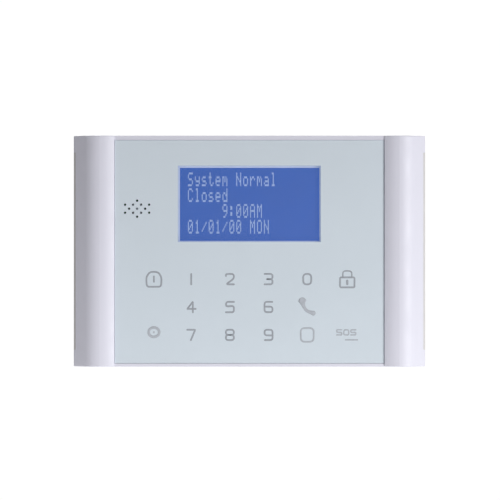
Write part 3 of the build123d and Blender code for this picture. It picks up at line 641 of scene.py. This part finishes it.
def foam_tape(name):
    """Closed-cell foam tape: packed bubbles, dark and matt."""
    f = Finish(name)
    bubble = f.cells(0.35 * MM)
    f.colour(f.blend(bubble, (0.035, 0.035, 0.037), (0.012, 0.012, 0.013)))
    f.rough(f.span(f.noise(3 * MM), 0.3, 0.7, 0.75, 0.9))
    f.relief(bubble, 0.06 * MM)
    return f.mat


def rubber(name, colour=(0.02, 0.02, 0.021)):
    """Soft moulded rubber: faint bloom, matt, with a fine grain."""
    f = Finish(name, Sheen_Weight=0.2, Sheen_Roughness=0.5)
    bloom = f.noise(6 * MM, 4)
    f.colour(f.blend(f.span(bloom, 0.4, 0.75, 0, 1), colour, shade(colour, 2.4)))
    f.rough(f.span(bloom, 0.3, 0.7, 0.62, 0.8))
    f.relief(f.noise(0.25 * MM, 2), 0.015 * MM)
    return f.mat


def pouch_foil(name):
    """Laminated pouch foil: soft wrinkles that run with the cell, satin silver, with painted shade
    that darkens the wrinkles' hollows.
    """
    f = Finish(name, Metallic=0.85)
    wrinkles_and_painted_shade = f.noise(3.2 * MM, 3, place=f.stretch(0.45, 1, 1))
    cloud = f.noise(12 * MM, 3)
    # painted shade: the foil is darker where the wrinkle pattern is low, in its hollows
    f.colour(f.blend(wrinkles_and_painted_shade, (0.5, 0.51, 0.52), (0.72, 0.73, 0.74)))
    f.rough(f.span(cloud, 0.3, 0.7, 0.3, 0.46))
    f.relief(wrinkles_and_painted_shade, 0.12 * MM)
    return f.mat


def insulated_wire(name, live, earth, split_x):
    """Two-wire lead: red on one side of its middle line and black on the other."""
    f = Finish(name)
    x, _, _ = f.axes()
    side = f.span(x, split_x - 0.05 * MM, split_x + 0.05 * MM, 0, 1)
    scuff = f.noise(1.5 * MM, 3)
    f.colour(f.blend(f.span(scuff, 0.5, 0.8, 0, 0.3), f.blend(side, live, earth), (0.3, 0.28, 0.27)))
    f.rough(f.span(scuff, 0.3, 0.7, 0.38, 0.55))
    f.relief(scuff, 0.02 * MM)
    return f.mat


def flexible_circuit(name):
    """Amber flexible circuit with a copper meander seen through its film."""
    f = Finish(name, Coat_Weight=0.4)
    x, _, z = f.axes()
    wave = f.calc("SINE", f.calc("MULTIPLY", x, 2 * math.pi / (2.4 * MM)))
    swing = f.calc("ABSOLUTE", f.calc("SINE", f.calc("MULTIPLY", z, 2 * math.pi / (5 * MM))))
    line = f.span(f.calc("ABSOLUTE", f.calc("SUBTRACT", wave, swing)), 0.2, 0.4, 1, 0)
    haze = f.noise(4 * MM, 3)
    film = f.blend(haze, (0.42, 0.17, 0.02), (0.6, 0.27, 0.04))
    f.colour(f.blend(line, film, (0.62, 0.36, 0.16)))
    f.rough(f.span(haze, 0.3, 0.7, 0.2, 0.34))
    f.relief(line, 0.02 * MM)
    return f.mat


def wound_paper(name):
    """Tape-wrapped winding: tan turns side by side, a little uneven."""
    f = Finish(name)
    _, _, z = f.axes()
    turn = f.calc("ABSOLUTE", f.calc("SINE", f.calc("MULTIPLY", z, math.pi / (0.35 * MM))))
    stain = f.noise(4 * MM, 4)
    tone = f.blend(stain, (0.3, 0.19, 0.06), (0.5, 0.35, 0.14))
    f.colour(f.blend(f.span(turn, 0, 0.5, 0.5, 0), tone, (0.16, 0.09, 0.03)))
    f.rough(f.span(stain, 0.3, 0.7, 0.4, 0.6))
    f.relief(turn, 0.05 * MM)
    return f.mat


def edge_lit_guide(name):
    """Moulded light guide: milky clear plastic with rows of etched dots."""
    f = Finish(name, Coat_Weight=0.3)
    dots = f.cells(1.1 * MM)
    haze = f.noise(12 * MM, 3)
    body = f.blend(haze, (0.74, 0.78, 0.84), (0.86, 0.89, 0.93))
    f.colour(f.blend(f.span(dots, 0.18, 0.24, 0.8, 0), body, (0.95, 0.96, 0.97)))
    f.rough(f.span(haze, 0.3, 0.7, 0.18, 0.3))
    f.relief(dots, 0.02 * MM)
    return f.mat


def led_dome(name):
    """Moulded lamp: white reflector body with phosphor speckle."""
    f = Finish(name)
    grain = f.noise(0.3 * MM, 2)
    f.colour(f.blend(f.span(grain, 0.45, 0.6, 0, 0.6), (0.85, 0.85, 0.8), (0.82, 0.72, 0.3)))
    f.rough(f.span(grain, 0.3, 0.7, 0.2, 0.35))
    f.relief(grain, 0.01 * MM)
    return f.mat


def dress(slots, material):
    """Gives a material to every model piece whose record slot is one of those."""
    for node, slot in SLOT_OF.items():
        if slot in slots:
            for held in frame["nodes"][node].material_slots:
                held.material = material


# ------------------------------------------------------------------ surfaces
def piece_from_grid(name, points, faces, material, body, slot):
    """Smooth mesh piece at the origin from an (n, 3) array and an (m, 4) array, on its body.

    Points closer than a hundredth of a micrometre are one point, which closes poles and seams.
    """
    _, first, same = np.unique(np.round(points, 8), axis=0, return_index=True, return_inverse=True)
    points, faces = points[first], same.ravel()[faces]
    mesh = bpy.data.meshes.new(name)
    rows = [
        tuple(dict.fromkeys(corners)) for corners in faces.tolist() if len(set(corners)) > 2
    ]
    mesh.from_pydata(points.tolist(), [], rows)
    mesh.polygons.foreach_set("use_smooth", np.ones(len(mesh.polygons), bool))
    mesh.materials.append(material)
    mesh.update()
    piece = bpy.data.objects.new(name, mesh)
    bpy.context.scene.collection.objects.link(piece)
    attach(piece, body)
    return piece


def tube_faces(stations, ring):
    """Quads between neighbouring stations of a closed ring of points, as indices."""
    s, r = np.meshgrid(np.arange(stations - 1), np.arange(ring), indexing="ij")
    s, r = s.ravel(), r.ravel()
    n = (r + 1) % ring
    return np.stack([s * ring + r, (s + 1) * ring + r, (s + 1) * ring + n, s * ring + n], 1)


def rounded(corners, radius, closed=False, steps=6):
    """Path through corners with each turn eased.

    Each inner corner p between neighbours a and b becomes the curve
    (1 - t)^2 (p + r (a - p)/|a - p|) + 2 t (1 - t) p + t^2 (p + r (b - p)/|b - p|), t from 0 to 1.
    """
    p = np.asarray(corners, float)
    before, after = np.roll(p, 1, 0), np.roll(p, -1, 0)

    def towards(q):
        step = q - p
        far = np.maximum(np.linalg.norm(step, axis=1, keepdims=True), 1e-9)
        return p + step / far * np.minimum(radius, 0.49 * far)

    t = np.linspace(0, 1, steps)[None, :, None]
    turn = (1 - t) ** 2 * towards(before)[:, None] + 2 * t * (1 - t) * p[:, None]
    turn = turn + t**2 * towards(after)[:, None]
    if closed:
        path = turn.reshape(-1, 2)
        return np.vstack([path, path[:1]])
    return np.vstack([p[:1], turn[1:-1].reshape(-1, 2), p[-1:]])


def arc(cx, cz, rx, rz, start, end, steps=48):
    """Points (cx + rx cos a, cz + rz sin a) with a from start to end, in degrees."""
    a = np.radians(np.linspace(start, end, steps))
    return np.stack([cx + rx * np.cos(a), cz + rz * np.sin(a)], 1)


def stroke(path, width, height, face, closed=False):
    """One printed line, as points and faces.

    Each station c of the path carries a closed section: its top is c + n w u / 2 raised by
    height (1 - u^6), and its underside is the same line sunk a sixth of height, for u from -1
    to 1, with n square to the path. At an open end the width follows w cos(a) while the station
    moves on by w sin(a) / 2, which ends the line in a half circle. Where the line is narrower
    than a quarter of its widest, its height falls with its width.
    """
    end_steps, section_steps = 6, 9
    keep = np.r_[True, np.linalg.norm(np.diff(path, axis=0), axis=1) > 1e-9]
    path = path[keep]
    wide = np.full(len(path), width) if np.ndim(width) == 0 else np.asarray(width)[keep]
    slope = np.gradient(path, axis=0)
    if closed:
        slope[0] = slope[-1] = path[1] - path[-2]
    slope /= np.linalg.norm(slope, axis=1, keepdims=True)
    if not closed:
        a = np.linspace(0, math.pi / 2, end_steps + 1)[1:, None]
        head = path[:1] - slope[:1] * wide[0] / 2 * np.sin(a[::-1])
        tail = path[-1:] + slope[-1:] * wide[-1] / 2 * np.sin(a)
        path = np.vstack([head, path, tail])
        first, last = np.repeat(slope[:1], end_steps, 0), np.repeat(slope[-1:], end_steps, 0)
        slope = np.vstack([first, slope, last])
        wide = np.r_[wide[0] * np.cos(a[::-1, 0]), wide, wide[-1] * np.cos(a[:, 0])]
    across = np.stack([-slope[:, 1], slope[:, 0]], 1)
    u = np.linspace(-1, 1, section_steps)
    lift = np.r_[1 - u**6, np.full(section_steps - 2, -1 / 6)]
    u = np.r_[u, u[-2:0:-1]]
    flat = path[:, None] + across[:, None] * (wide[:, None, None] / 2) * u[None, :, None]
    thick = height * np.minimum(1, wide / max(wide.max(), 1e-9) * 4)[:, None] * lift[None]
    thick[wide < 1e-9] = 0
    points = np.stack([flat[..., 0], face - thick, flat[..., 1]], -1).reshape(-1, 3)
    return points, tube_faces(len(path), len(u))


def join(parts):
    """Several (points, faces) pairs as one."""
    starts = np.cumsum([0] + [len(p) for p, _ in parts[:-1]])
    return (
        np.vstack([p for p, _ in parts]),
        np.vstack([f + start for (_, f), start in zip(parts, starts)]),
    )


# lines of each digit: corners in half widths and half heights, turn in widths, and closed or not
DIGITS = {
    "0": [([(-1, -1), (1, -1), (1, 1), (-1, 1)], 0.46, True)],
    "1": [([(0, -1), (0, 1)], 0, False)],
    "2": [([(-1, 0.62), (-1, 1), (1, 1), (1, 0.08), (-1, -1), (1, -1)], 0.34, False)],
    "3": [
        ([(-1, 1), (1, 1), (1, 0), (-0.35, 0)], 0.34, False),
        ([(-0.35, 0), (1, 0), (1, -1), (-1, -1)], 0.34, False),
    ],
    "4": [([(0.4, -1), (0.4, 1), (-1, -0.35), (1.1, -0.35)], 0.06, False)],
    "5": [([(1, 1), (-0.9, 1), (-1, 0.1), (1, 0.22), (1, -1), (-1, -1)], 0.272, False)],
    "6": [([(0.9, 1), (-1, 1), (-1, -1), (1, -1), (1, 0.08), (-1, 0.08)], 0.34, False)],
    "7": [([(-1, 1), (1, 1), (-0.1, -1)], 0.1, False)],
    "8": [
        ([(-1, 0), (1, 0), (1, 1), (-1, 1)], 0.34, True),
        ([(-1, -1), (1, -1), (1, 0), (-1, 0)], 0.34, True),
    ],
    "9": [([(-0.9, -1), (1, -1), (1, 1), (-1, 1), (-1, -0.08), (1, -0.08)], 0.34, False)],
}


def digit_lines(digit, w, h, pen):
    """Lines of a digit in a box w wide and h high about the origin, as (path, width, closed)."""
    return [
        (rounded(np.array(corners) * (w / 2, h / 2), turn * w, closed), pen, closed)
        for corners, turn, closed in DIGITS[digit]
    ]


MARKS_RIGHT = -0.1 * MM  # all the marks from the plate's middle
OUTER_COLUMNS = (0, 5)
MIDDLE_COLUMN = 2.5  # the plate's middle, counted in columns from the first
# signs that are printed in the paler ink
PALE_MARKS = ("mark_handset", "mark_away", "mark_ring", "mark_sos")


def mark_shapes(settings):
    """Every printed mark: its name, column, row and its lines as (path, width, closed).

    The handset's line is the straight one from (-2.5, 3.0) to (3.1, -3.1) mm, moved left by
    1.1 sin(pi t) and down by 1.2 sin(pi t), and its width grows from 1.5 mm with |2 t - 1|^3, by
    2.4 mm at its upper end and 1.0 mm at its lower, for t from 0 to 1.
    """
    pen = settings.ink_stroke
    w, h = settings.digit_width - pen, settings.digit_height - pen
    digits = {digit: digit_lines(digit, w, h, pen) for digit in DIGITS}
    thin, bold = 0.8 * pen, 1.3 * pen
    house = rounded(
        np.array([(-3.7, -3.9), (3.7, -3.9), (3.9, 1.0), (2.1, 3.7), (-2.1, 3.7), (-3.9, 1.0)]) * MM,
        1.5 * MM,
        True,
    )
    ring = arc(0, 1.4 * MM, 2.7 * MM, 2.4 * MM, 0, 360, 61)
    body = rounded(
        np.array([(-3.7, -4.2), (3.7, -4.2), (3.7, 0.9), (-3.7, 0.9)]) * MM, 0.7 * MM, True
    )
    shackle = rounded(np.array([(-2.3, 0.9), (-2.3, 4.2), (2.3, 4.2), (2.3, 0.9)]) * MM, 1.6 * MM)
    frame_ring = rounded(
        np.array([(-3.3, -3.5), (3.3, -3.5), (3.3, 3.5), (-3.3, 3.5)]) * MM, 2.2 * MM, True
    )
    door = (np.array([(0, -1.3), (0, 1.4)]) * MM, pen, False)
    keyhole = (np.array([(0, -2.5), (0, -0.8)]) * MM, bold, False)
    hub = (np.array([(0, 1.25), (0, 1.55)]) * MM, pen, False)
    along = np.linspace(0, 1, 41)
    handset = np.stack(
        [
            (-2.5 + 5.6 * along - 1.1 * np.sin(math.pi * along)) * MM,
            (3.0 - 6.1 * along - 1.2 * np.sin(math.pi * along)) * MM,
        ],
        1,
    )
    ends = np.abs(2 * along - 1) ** 3
    grip = (1.5 + ends * np.where(along < 0.5, 2.4, 1.0)) * MM
    letters = []
    cell, tall = 1.25 * MM, 1.3 * MM
    s_line = rounded(
        np.array([(1, 1), (-1, 1), (-1, 0), (1, 0), (1, -1), (-1, -1)]) * (cell, tall), 0.5 * MM
    )
    o_line = rounded(np.array([(-1, -1), (1, -1), (1, 1), (-1, 1)]) * (cell, tall), 0.9 * MM, True)
    for shift, line, closed in ((-3.6, s_line, False), (0, o_line, True), (3.6, s_line, False)):
        letters.append((line + np.array([shift - 0.5, 1.3]) * MM, thin, closed))
    letters.append((np.array([(-0.9, -2.5), (5.2, -2.5)]) * MM, thin, False))
    return [
        ("mark_home", 0, 2, [(house, pen, True), door]),
        ("mark_1", 1, 2, digits["1"]),
        ("mark_2", 2, 2, digits["2"]),
        ("mark_3", 3, 2, digits["3"]),
        ("mark_0", 4, 2, digits["0"]),
        ("mark_lock", 5, 2, [(body, pen, True), (shackle, thin, False), keyhole]),
        ("mark_4", 1, 1, digits["4"]),
        ("mark_5", 2, 1, digits["5"]),
        ("mark_6", 3, 1, digits["6"]),
        ("mark_handset", 4, 1, [(handset, grip, False)]),
        ("mark_away", 0, 0, [(ring, 1.5 * pen, True), hub]),
        ("mark_7", 1, 0, digits["7"]),
        ("mark_8", 2, 0, digits["8"]),
        ("mark_9", 3, 0, digits["9"]),
        ("mark_ring", 4, 0, [(frame_ring, pen, True)]),
        ("mark_sos", 5, 0, letters),
    ]


# rows of each 5 by 7 letter from the top, five bits a row
LETTERS = {
    "S": (15, 16, 16, 14, 1, 1, 30),
    "y": (0, 0, 17, 17, 15, 1, 14),
    "s": (0, 0, 14, 16, 14, 1, 30),
    "t": (8, 8, 28, 8, 8, 9, 6),
    "e": (0, 0, 14, 17, 31, 16, 14),
    "m": (0, 0, 26, 21, 21, 17, 17),
    "N": (17, 17, 25, 21, 19, 17, 17),
    "o": (0, 0, 14, 17, 17, 17, 14),
    "r": (0, 0, 22, 25, 16, 16, 16),
    "a": (0, 0, 14, 1, 15, 17, 15),
    "l": (12, 4, 4, 4, 4, 4, 14),
    "C": (14, 17, 16, 16, 16, 17, 14),
    "d": (1, 1, 13, 19, 17, 17, 15),
    "9": (14, 17, 17, 15, 1, 2, 12),
    "0": (14, 17, 19, 21, 25, 17, 14),
    "1": (4, 12, 4, 4, 4, 4, 14),
    "A": (14, 17, 17, 31, 17, 17, 17),
    "M": (17, 27, 21, 21, 17, 17, 17),
    "O": (14, 17, 17, 17, 17, 17, 14),
    ":": (0, 12, 12, 0, 12, 12, 0),
    "/": (0, 1, 2, 4, 8, 16, 0),
    " ": (0, 0, 0, 0, 0, 0, 0),
}
LINES = ("System Normal", "Closed", "     9:00AM", "01/01/00 MON")
CELL_DOTS = 7  # dots from one letter to the next
LINE_DOTS = 16  # dots from one line to the next
DOT_GAP = 0.002 * MM  # from the display cell's face to the backs of the dots
DOT_RISE = 0.01 * MM
DOT_TOP = 0.7  # side of a dot's top, as a share of its foot


def lit_dots():
    """Columns and rows of the dots that are on, each letter's rows drawn twice as tall."""
    columns, rows = [], []
    for line, text in enumerate(LINES):
        for cell, letter in enumerate(text):
            bits = (np.array(LETTERS[letter])[:, None] >> np.arange(4, -1, -1)) & 1
            r, c = np.nonzero(np.repeat(bits, 2, axis=0))
            columns.append(cell * CELL_DOTS + c)
            rows.append(line * LINE_DOTS + r)
    return np.concatenate(columns), np.concatenate(rows)


def dot_field(settings, left, top, face):
    """Small raised pads, one for each lit dot, as points and faces.

    A pad is a square of side pitch times fill whose top is smaller and stands proud: eight
    corners and six quads, carried to (left + (column + 0.5) pitch, top - (row + 0.5) pitch).
    """
    column, row = lit_dots()
    pitch, half = settings.dot_pitch, settings.dot_pitch * settings.dot_fill / 2
    square = np.array([(-1, -1), (1, -1), (1, 1), (-1, 1)], float)
    flat = np.vstack([square * half, square * half * DOT_TOP])
    depth = np.repeat([0.0, -DOT_RISE], 4)
    x = left + (column + 0.5) * pitch
    z = top - (row + 0.5) * pitch
    points = np.stack(
        [
            x[:, None] + flat[:, 0],
            np.broadcast_to(face + depth, (len(x), 8)),
            z[:, None] + flat[:, 1],
        ],
        -1,
    ).reshape(-1, 3)
    quads = [(3, 2, 1, 0), (4, 5, 6, 7), (0, 1, 5, 4), (1, 2, 6, 5), (2, 3, 7, 6), (3, 0, 4, 7)]
    faces = (np.arange(len(x)) * 8)[:, None, None] + np.array(quads)
    return points, faces.reshape(-1, 4)


# ------------------------------------------------------------------ operators
# soft lights: place and target, then width and height, in metres
LIGHTS = {
    "key_light": ((1.83, -1.7, 0.0), (0, 0, 0), 1.1, 0.4),
    "low_light": ((0.0, -0.18, -0.165), (0, 0, 0), 1.3, 0.06),
    "top_light": ((0.0, 0.75, 1.6), (0, 0.25, -0.25), 1.4, 1.4),
    "back_light": ((0.3, 2.0, 0.5), (0, 0, 0), 1.2, 1.2),
}
SIDES_DEPTH = 5 * MM  # from the front face back to where the frame's width is measured
EYE_RIGHT, EYE_UP = 0.28 * MM, 0.6 * MM  # camera from the panel's middle
BACKDROP = 1.02  # brightness of the white behind everything


class KEYPAD_OT_stage(Operator):
    """Floor, sky, soft lights and the camera straight in front"""

    bl_idname = "keypad.stage"
    bl_label = "Stage"

    def execute(self, context):
        studio = context.scene.keypad_studio
        context.scene.view_settings.view_transform = "Standard"
        self.floor(studio)
        self.sky(context, studio)
        powers = (studio.key_power, studio.low_power, studio.top_power, studio.back_power)
        for (name, setup), power in zip(LIGHTS.items(), powers):
            soft_light(name, *setup, power)
        self.camera(context, studio)
        return {"FINISHED"}

    def floor(self, studio):
        """Pale round floor: z = level + lip (r / edge)^8 at distance r from its middle."""
        low, _ = cad_box
        level = low[2] - studio.floor_drop
        reach, edge, lip, behind = 1.05, 1.1, 12 * MM, 0.15
        rings, spokes = 25, 96
        r = np.linspace(0, reach, rings)[:, None]
        a = np.linspace(0, 2 * math.pi, spokes + 1)[None, :-1]
        height = level + lip * (r / edge) ** 8 + 0 * a
        points = np.stack([r * np.cos(a), behind + r * np.sin(a), height], -1).reshape(-1, 3)
        mesh = bpy.data.meshes.new("floor")
        mesh.from_pydata(points.tolist(), [], tube_faces(rings, spokes).tolist())
        f = Finish("floor_paper")
        cloud = f.noise(0.2, 3)
        f.colour(f.blend(cloud, (0.82, 0.82, 0.82), (0.86, 0.86, 0.865)))
        f.rough(f.span(cloud, 0.3, 0.7, 0.7, 0.85))
        f.relief(f.noise(1.2 * MM, 3), 0.02 * MM)
        mesh.materials.append(f.mat)
        floor = bpy.data.objects.new("floor", mesh)
        bpy.context.scene.collection.objects.link(floor)

    def sky(self, context, studio):
        """White behind everything, and a lower even light on the panel."""
        world = bpy.data.worlds.new("sky")
        context.scene.world = world
        world.use_nodes = True
        tree = world.node_tree
        light = tree.nodes["Background"]
        light.inputs["Color"].default_value = (1, 1, 1, 1)
        light.inputs["Strength"].default_value = studio.sky
        white = tree.nodes.new("ShaderNodeBackground")
        white.inputs["Color"].default_value = (1, 1, 1, 1)
        white.inputs["Strength"].default_value = BACKDROP
        path = tree.nodes.new("ShaderNodeLightPath")
        mix = tree.nodes.new("ShaderNodeMixShader")
        tree.links.new(path.outputs["Is Camera Ray"], mix.inputs[0])
        tree.links.new(light.outputs[0], mix.inputs[1])
        tree.links.new(white.outputs[0], mix.inputs[2])
        tree.links.new(mix.outputs[0], tree.nodes["World Output"].inputs[0])

    def camera(self, context, studio):
        """Camera in front of the panel's middle, so that its frame is frame_width at the sides."""
        low, high = cad_box
        data = bpy.data.cameras.new("camera")
        data.lens = studio.lens
        data.clip_start, data.clip_end = 0.05, 20
        eye = bpy.data.objects.new("camera", data)
        context.scene.collection.objects.link(eye)
        away = studio.frame_width * studio.lens / data.sensor_width
        eye.location = (
            (low[0] + high[0]) / 2 + EYE_RIGHT,
            low[1] + SIDES_DEPTH - away,
            (low[2] + high[2]) / 2 + EYE_UP,
        )
        eye.rotation_euler = (math.pi / 2, 0, 0)
        context.scene.camera = eye


def soft_light(name, place, target, width, height, power):
    """Rectangular soft light that faces its target."""
    data = bpy.data.lights.new(name, "AREA")
    data.shape = "RECTANGLE"
    data.size, data.size_y, data.energy = width, height, power
    light = bpy.data.objects.new(name, data)
    bpy.context.scene.collection.objects.link(light)
    light.location = place
    light.visible_camera = False
    aim = Vector(target) - light.location
    light.rotation_euler = aim.to_track_quat("-Z", "Y").to_euler()
    return light


class KEYPAD_OT_shell(Operator):
    """Finishes of the housings, the side strips, the bracket and the screws"""

    bl_idname = "keypad.shell"
    bl_label = "Shell and bracket"

    def execute(self, context):
        shell = context.scene.keypad_shell
        white = moulded("housing_plastic", shell.housing_colour, shell.grain, mottle=0.012)
        dress({"housing_white"}, white)
        dress(
            {"trim_silver"},
            painted("silver_strip", shell.trim_colour, metal=0.15, rough=(0.36, 0.46), flake=0.3),
        )
        grey = painted("bracket_paint", shell.bracket_colour, metal=0.35, flake=0.25)
        dress({"bracket_steel"}, grey)
        dress({"screw_zinc"}, plated("zinc_plate", (0.66, 0.67, 0.66)))
        dress({"knob_black"}, moulded("knob_plastic", (0.025, 0.025, 0.027), 0.25 * MM))
        return {"FINISHED"}


class KEYPAD_OT_touch_panel(Operator):
    """Frosted plate with its clear window, the printed film and the foam tape behind it"""

    bl_idname = "keypad.touch_panel"
    bl_label = "Touch panel"

    def execute(self, context):
        panel = context.scene.keypad_panel
        window = window_corners()
        dress({"panel_acrylic"}, touch_plate(panel, window))
        dress({"film_print"}, screen_ink("film_ink", panel.plate_colour))
        dress({"tape_black"}, foam_tape("foam"))
        return {"FINISHED"}


def window_corners():
    """Corners of the film's window, from the film's points in front of the display's frame."""
    film = frame["nodes"]["panel_film"]
    low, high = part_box("display_bezel")
    co = np.zeros(len(film.data.vertices) * 3)
    film.data.vertices.foreach_get("co", co)
    x, z = co.reshape(-1, 3)[:, 0], co.reshape(-1, 3)[:, 2]
    inside = (x > low.x) & (x < high.x) & (z > low.z) & (z < high.z)
    return (
        (float(x[inside].min()), float(z[inside].min())),
        (float(x[inside].max()), float(z[inside].max())),
    )


class KEYPAD_OT_key_marks(Operator):
    """Printed digits and key signs, one raised ink line after another"""

    bl_idname = "keypad.key_marks"
    bl_label = "Key marks"

    def execute(self, context):
        panel = context.scene.keypad_panel
        low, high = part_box("touch_panel")
        ink = screen_ink("mark_ink", panel.ink_colour)
        pale_ink = screen_ink("pale_mark_ink", panel.pale_ink_colour)
        middle = (low.x + high.x) / 2 + MARKS_RIGHT
        for name, column, row, lines in mark_shapes(panel):
            aside = panel.sign_shift if column in OUTER_COLUMNS else 0.0
            centre = np.array(
                [
                    middle + aside + (column - MIDDLE_COLUMN) * panel.column_pitch,
                    low.z + panel.bottom_row + row * panel.row_pitch,
                ]
            )
            parts = [
                stroke(path + centre, width, panel.ink_height, low.y, closed)
                for path, width, closed in lines
            ]
            tone = pale_ink if name in PALE_MARKS else ink
            piece_from_grid(name, *join(parts), tone, "panel", "film_print")
        return {"FINISHED"}


class KEYPAD_OT_display(Operator):
    """Display cell, its frame, light guide and the dots that are switched on"""

    bl_idname = "keypad.display"
    bl_label = "Display"

    def execute(self, context):
        display = context.scene.keypad_display
        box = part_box("display_glass")
        dress({"display_blue"}, lit_glass(display, box))
        dress({"light_guide"}, edge_lit_guide("light_guide"))
        # the frame carries a painted glow, given as emission
        frame_metal = frame_with_painted_glow(display.frame_colour, display.painted_frame_glow)
        for held in frame["nodes"]["display_bezel"].material_slots:
            held.material = frame_metal
        (x0, _), (_, z1) = window_corners()
        face = box[0].y - DOT_GAP
        field = dot_field(display, x0 + display.dots_left, z1 - display.dots_top, face)
        dots = piece_from_grid("display_dots", *field, lit_dot(display), "panel", "display_blue")
        dots.data.polygons.foreach_set("use_smooth", np.zeros(len(dots.data.polygons), bool))
        return {"FINISHED"}


class KEYPAD_OT_boards(Operator):
    """Circuit boards, chips, shields, coils, springs and lamps"""

    bl_idname = "keypad.boards"
    bl_label = "Boards"

    def execute(self, context):
        dress({"board_green"}, circuit_board("circuit_board"))
        epoxy = {"grain": 0.12 * MM, "rough": (0.5, 0.68), "mottle": 0.2}
        dress({"chip_black"}, moulded("chip_epoxy", (0.018, 0.018, 0.02), **epoxy))
        dress({"shield_tin"}, rolled("tinned_shield", (0.7, 0.7, 0.68)))
        steel = rolled("rolled_steel", (0.74, 0.76, 0.8), rough=(0.36, 0.5), metal=0.35)
        dress({"steel_plain"}, steel)
        dress({"spring_steel"}, plated("spring_plate", (0.74, 0.7, 0.56), 0.2 * MM))
        dress({"led_white"}, led_dome("lamp_body"))
        dress({"core_tan"}, wound_paper("coil_tape"))
        case = moulded("relay_case", (0.02, 0.09, 0.36), 0.3 * MM, rough=(0.25, 0.36))
        dress({"relay_blue"}, case)
        dress({"antenna_amber"}, flexible_circuit("antenna_film"))
        return {"FINISHED"}


class KEYPAD_OT_connectors(Operator):
    """Sockets, terminals, contacts, the card and its holder"""

    bl_idname = "keypad.connectors"
    bl_label = "Connectors"

    def execute(self, context):
        dress({"socket_black"}, moulded("black_socket", (0.022, 0.022, 0.024), 0.3 * MM))
        dress({"socket_white"}, moulded("white_socket", (0.74, 0.73, 0.69), 0.3 * MM, mottle=0.05))
        dress({"terminal_green"}, moulded("green_terminal", (0.02, 0.24, 0.06), 0.3 * MM, mottle=0.06))
        dress({"contact_gold"}, plated("gold_flash", (0.9, 0.66, 0.28), 0.3 * MM))
        dress({"card_white"}, moulded("card_plastic", (0.8, 0.81, 0.83), 0.2 * MM, rough=(0.28, 0.38)))
        return {"FINISHED"}


class KEYPAD_OT_power_and_sound(Operator):
    """Battery pouch, leads, speaker magnet and cone, rubber pieces"""

    bl_idname = "keypad.power_and_sound"
    bl_label = "Power and sound"

    def execute(self, context):
        low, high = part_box("battery_leads")
        dress({"pouch_silver"}, pouch_foil("pouch_foil"))
        red, black, split = (0.42, 0.02, 0.015), (0.02, 0.02, 0.02), (low.x + high.x) / 2
        dress({"wire_red_black"}, insulated_wire("lead_insulation", red, black, split))
        dress({"magnet_dark"}, plated("magnet_cup", (0.16, 0.16, 0.17), 0.5 * MM))
        cone = {"grain": 0.5 * MM, "rough": (0.25, 0.4), "mottle": 0.15}
        dress({"cone_film"}, moulded("cone_film", (0.04, 0.04, 0.045), **cone))
        dress({"rubber_black"}, rubber("soft_rubber"))
        return {"FINISHED"}


class KEYPAD_PT_sidebar(Panel):
    """Steps and sizes of the keypad panel"""

    bl_idname = "KEYPAD_PT_sidebar"
    bl_label = "Keypad panel"
    bl_space_type = "VIEW_3D"
    bl_region_type = "UI"
    bl_category = "Keypad"

    def draw(self, context):
        column = self.layout.column()
        for step in STEPS:
            column.operator(step.bl_idname)
        for holder, group in SETTINGS.items():
            settings = getattr(context.scene, holder)
            box = self.layout.box()
            for label in group.__annotations__:
                box.prop(settings, label)


STEPS = (
    KEYPAD_OT_stage,
    KEYPAD_OT_shell,
    KEYPAD_OT_touch_panel,
    KEYPAD_OT_key_marks,
    KEYPAD_OT_boards,
    KEYPAD_OT_connectors,
    KEYPAD_OT_power_and_sound,
    KEYPAD_OT_display,
)


def register():
    """Registers the settings, the steps and the sidebar."""
    for holder, group in SETTINGS.items():
        bpy.utils.register_class(group)
        setattr(bpy.types.Scene, holder, PointerProperty(type=group))
    for step in (*STEPS, KEYPAD_PT_sidebar):
        bpy.utils.register_class(step)


def unregister():
    """Takes everything back that register made."""
    for step in reversed((*STEPS, KEYPAD_PT_sidebar)):
        bpy.utils.unregister_class(step)
    for holder, group in SETTINGS.items():
        delattr(bpy.types.Scene, holder)
        bpy.utils.unregister_class(group)


def main():
    """Builds the whole scene, one step after another."""
    register()
    bpy.ops.keypad.stage()
    bpy.ops.keypad.shell()
    bpy.ops.keypad.touch_panel()
    bpy.ops.keypad.key_marks()
    bpy.ops.keypad.boards()
    bpy.ops.keypad.connectors()
    bpy.ops.keypad.power_and_sound()
    bpy.ops.keypad.display()


if __name__ == "__main__":
    main()
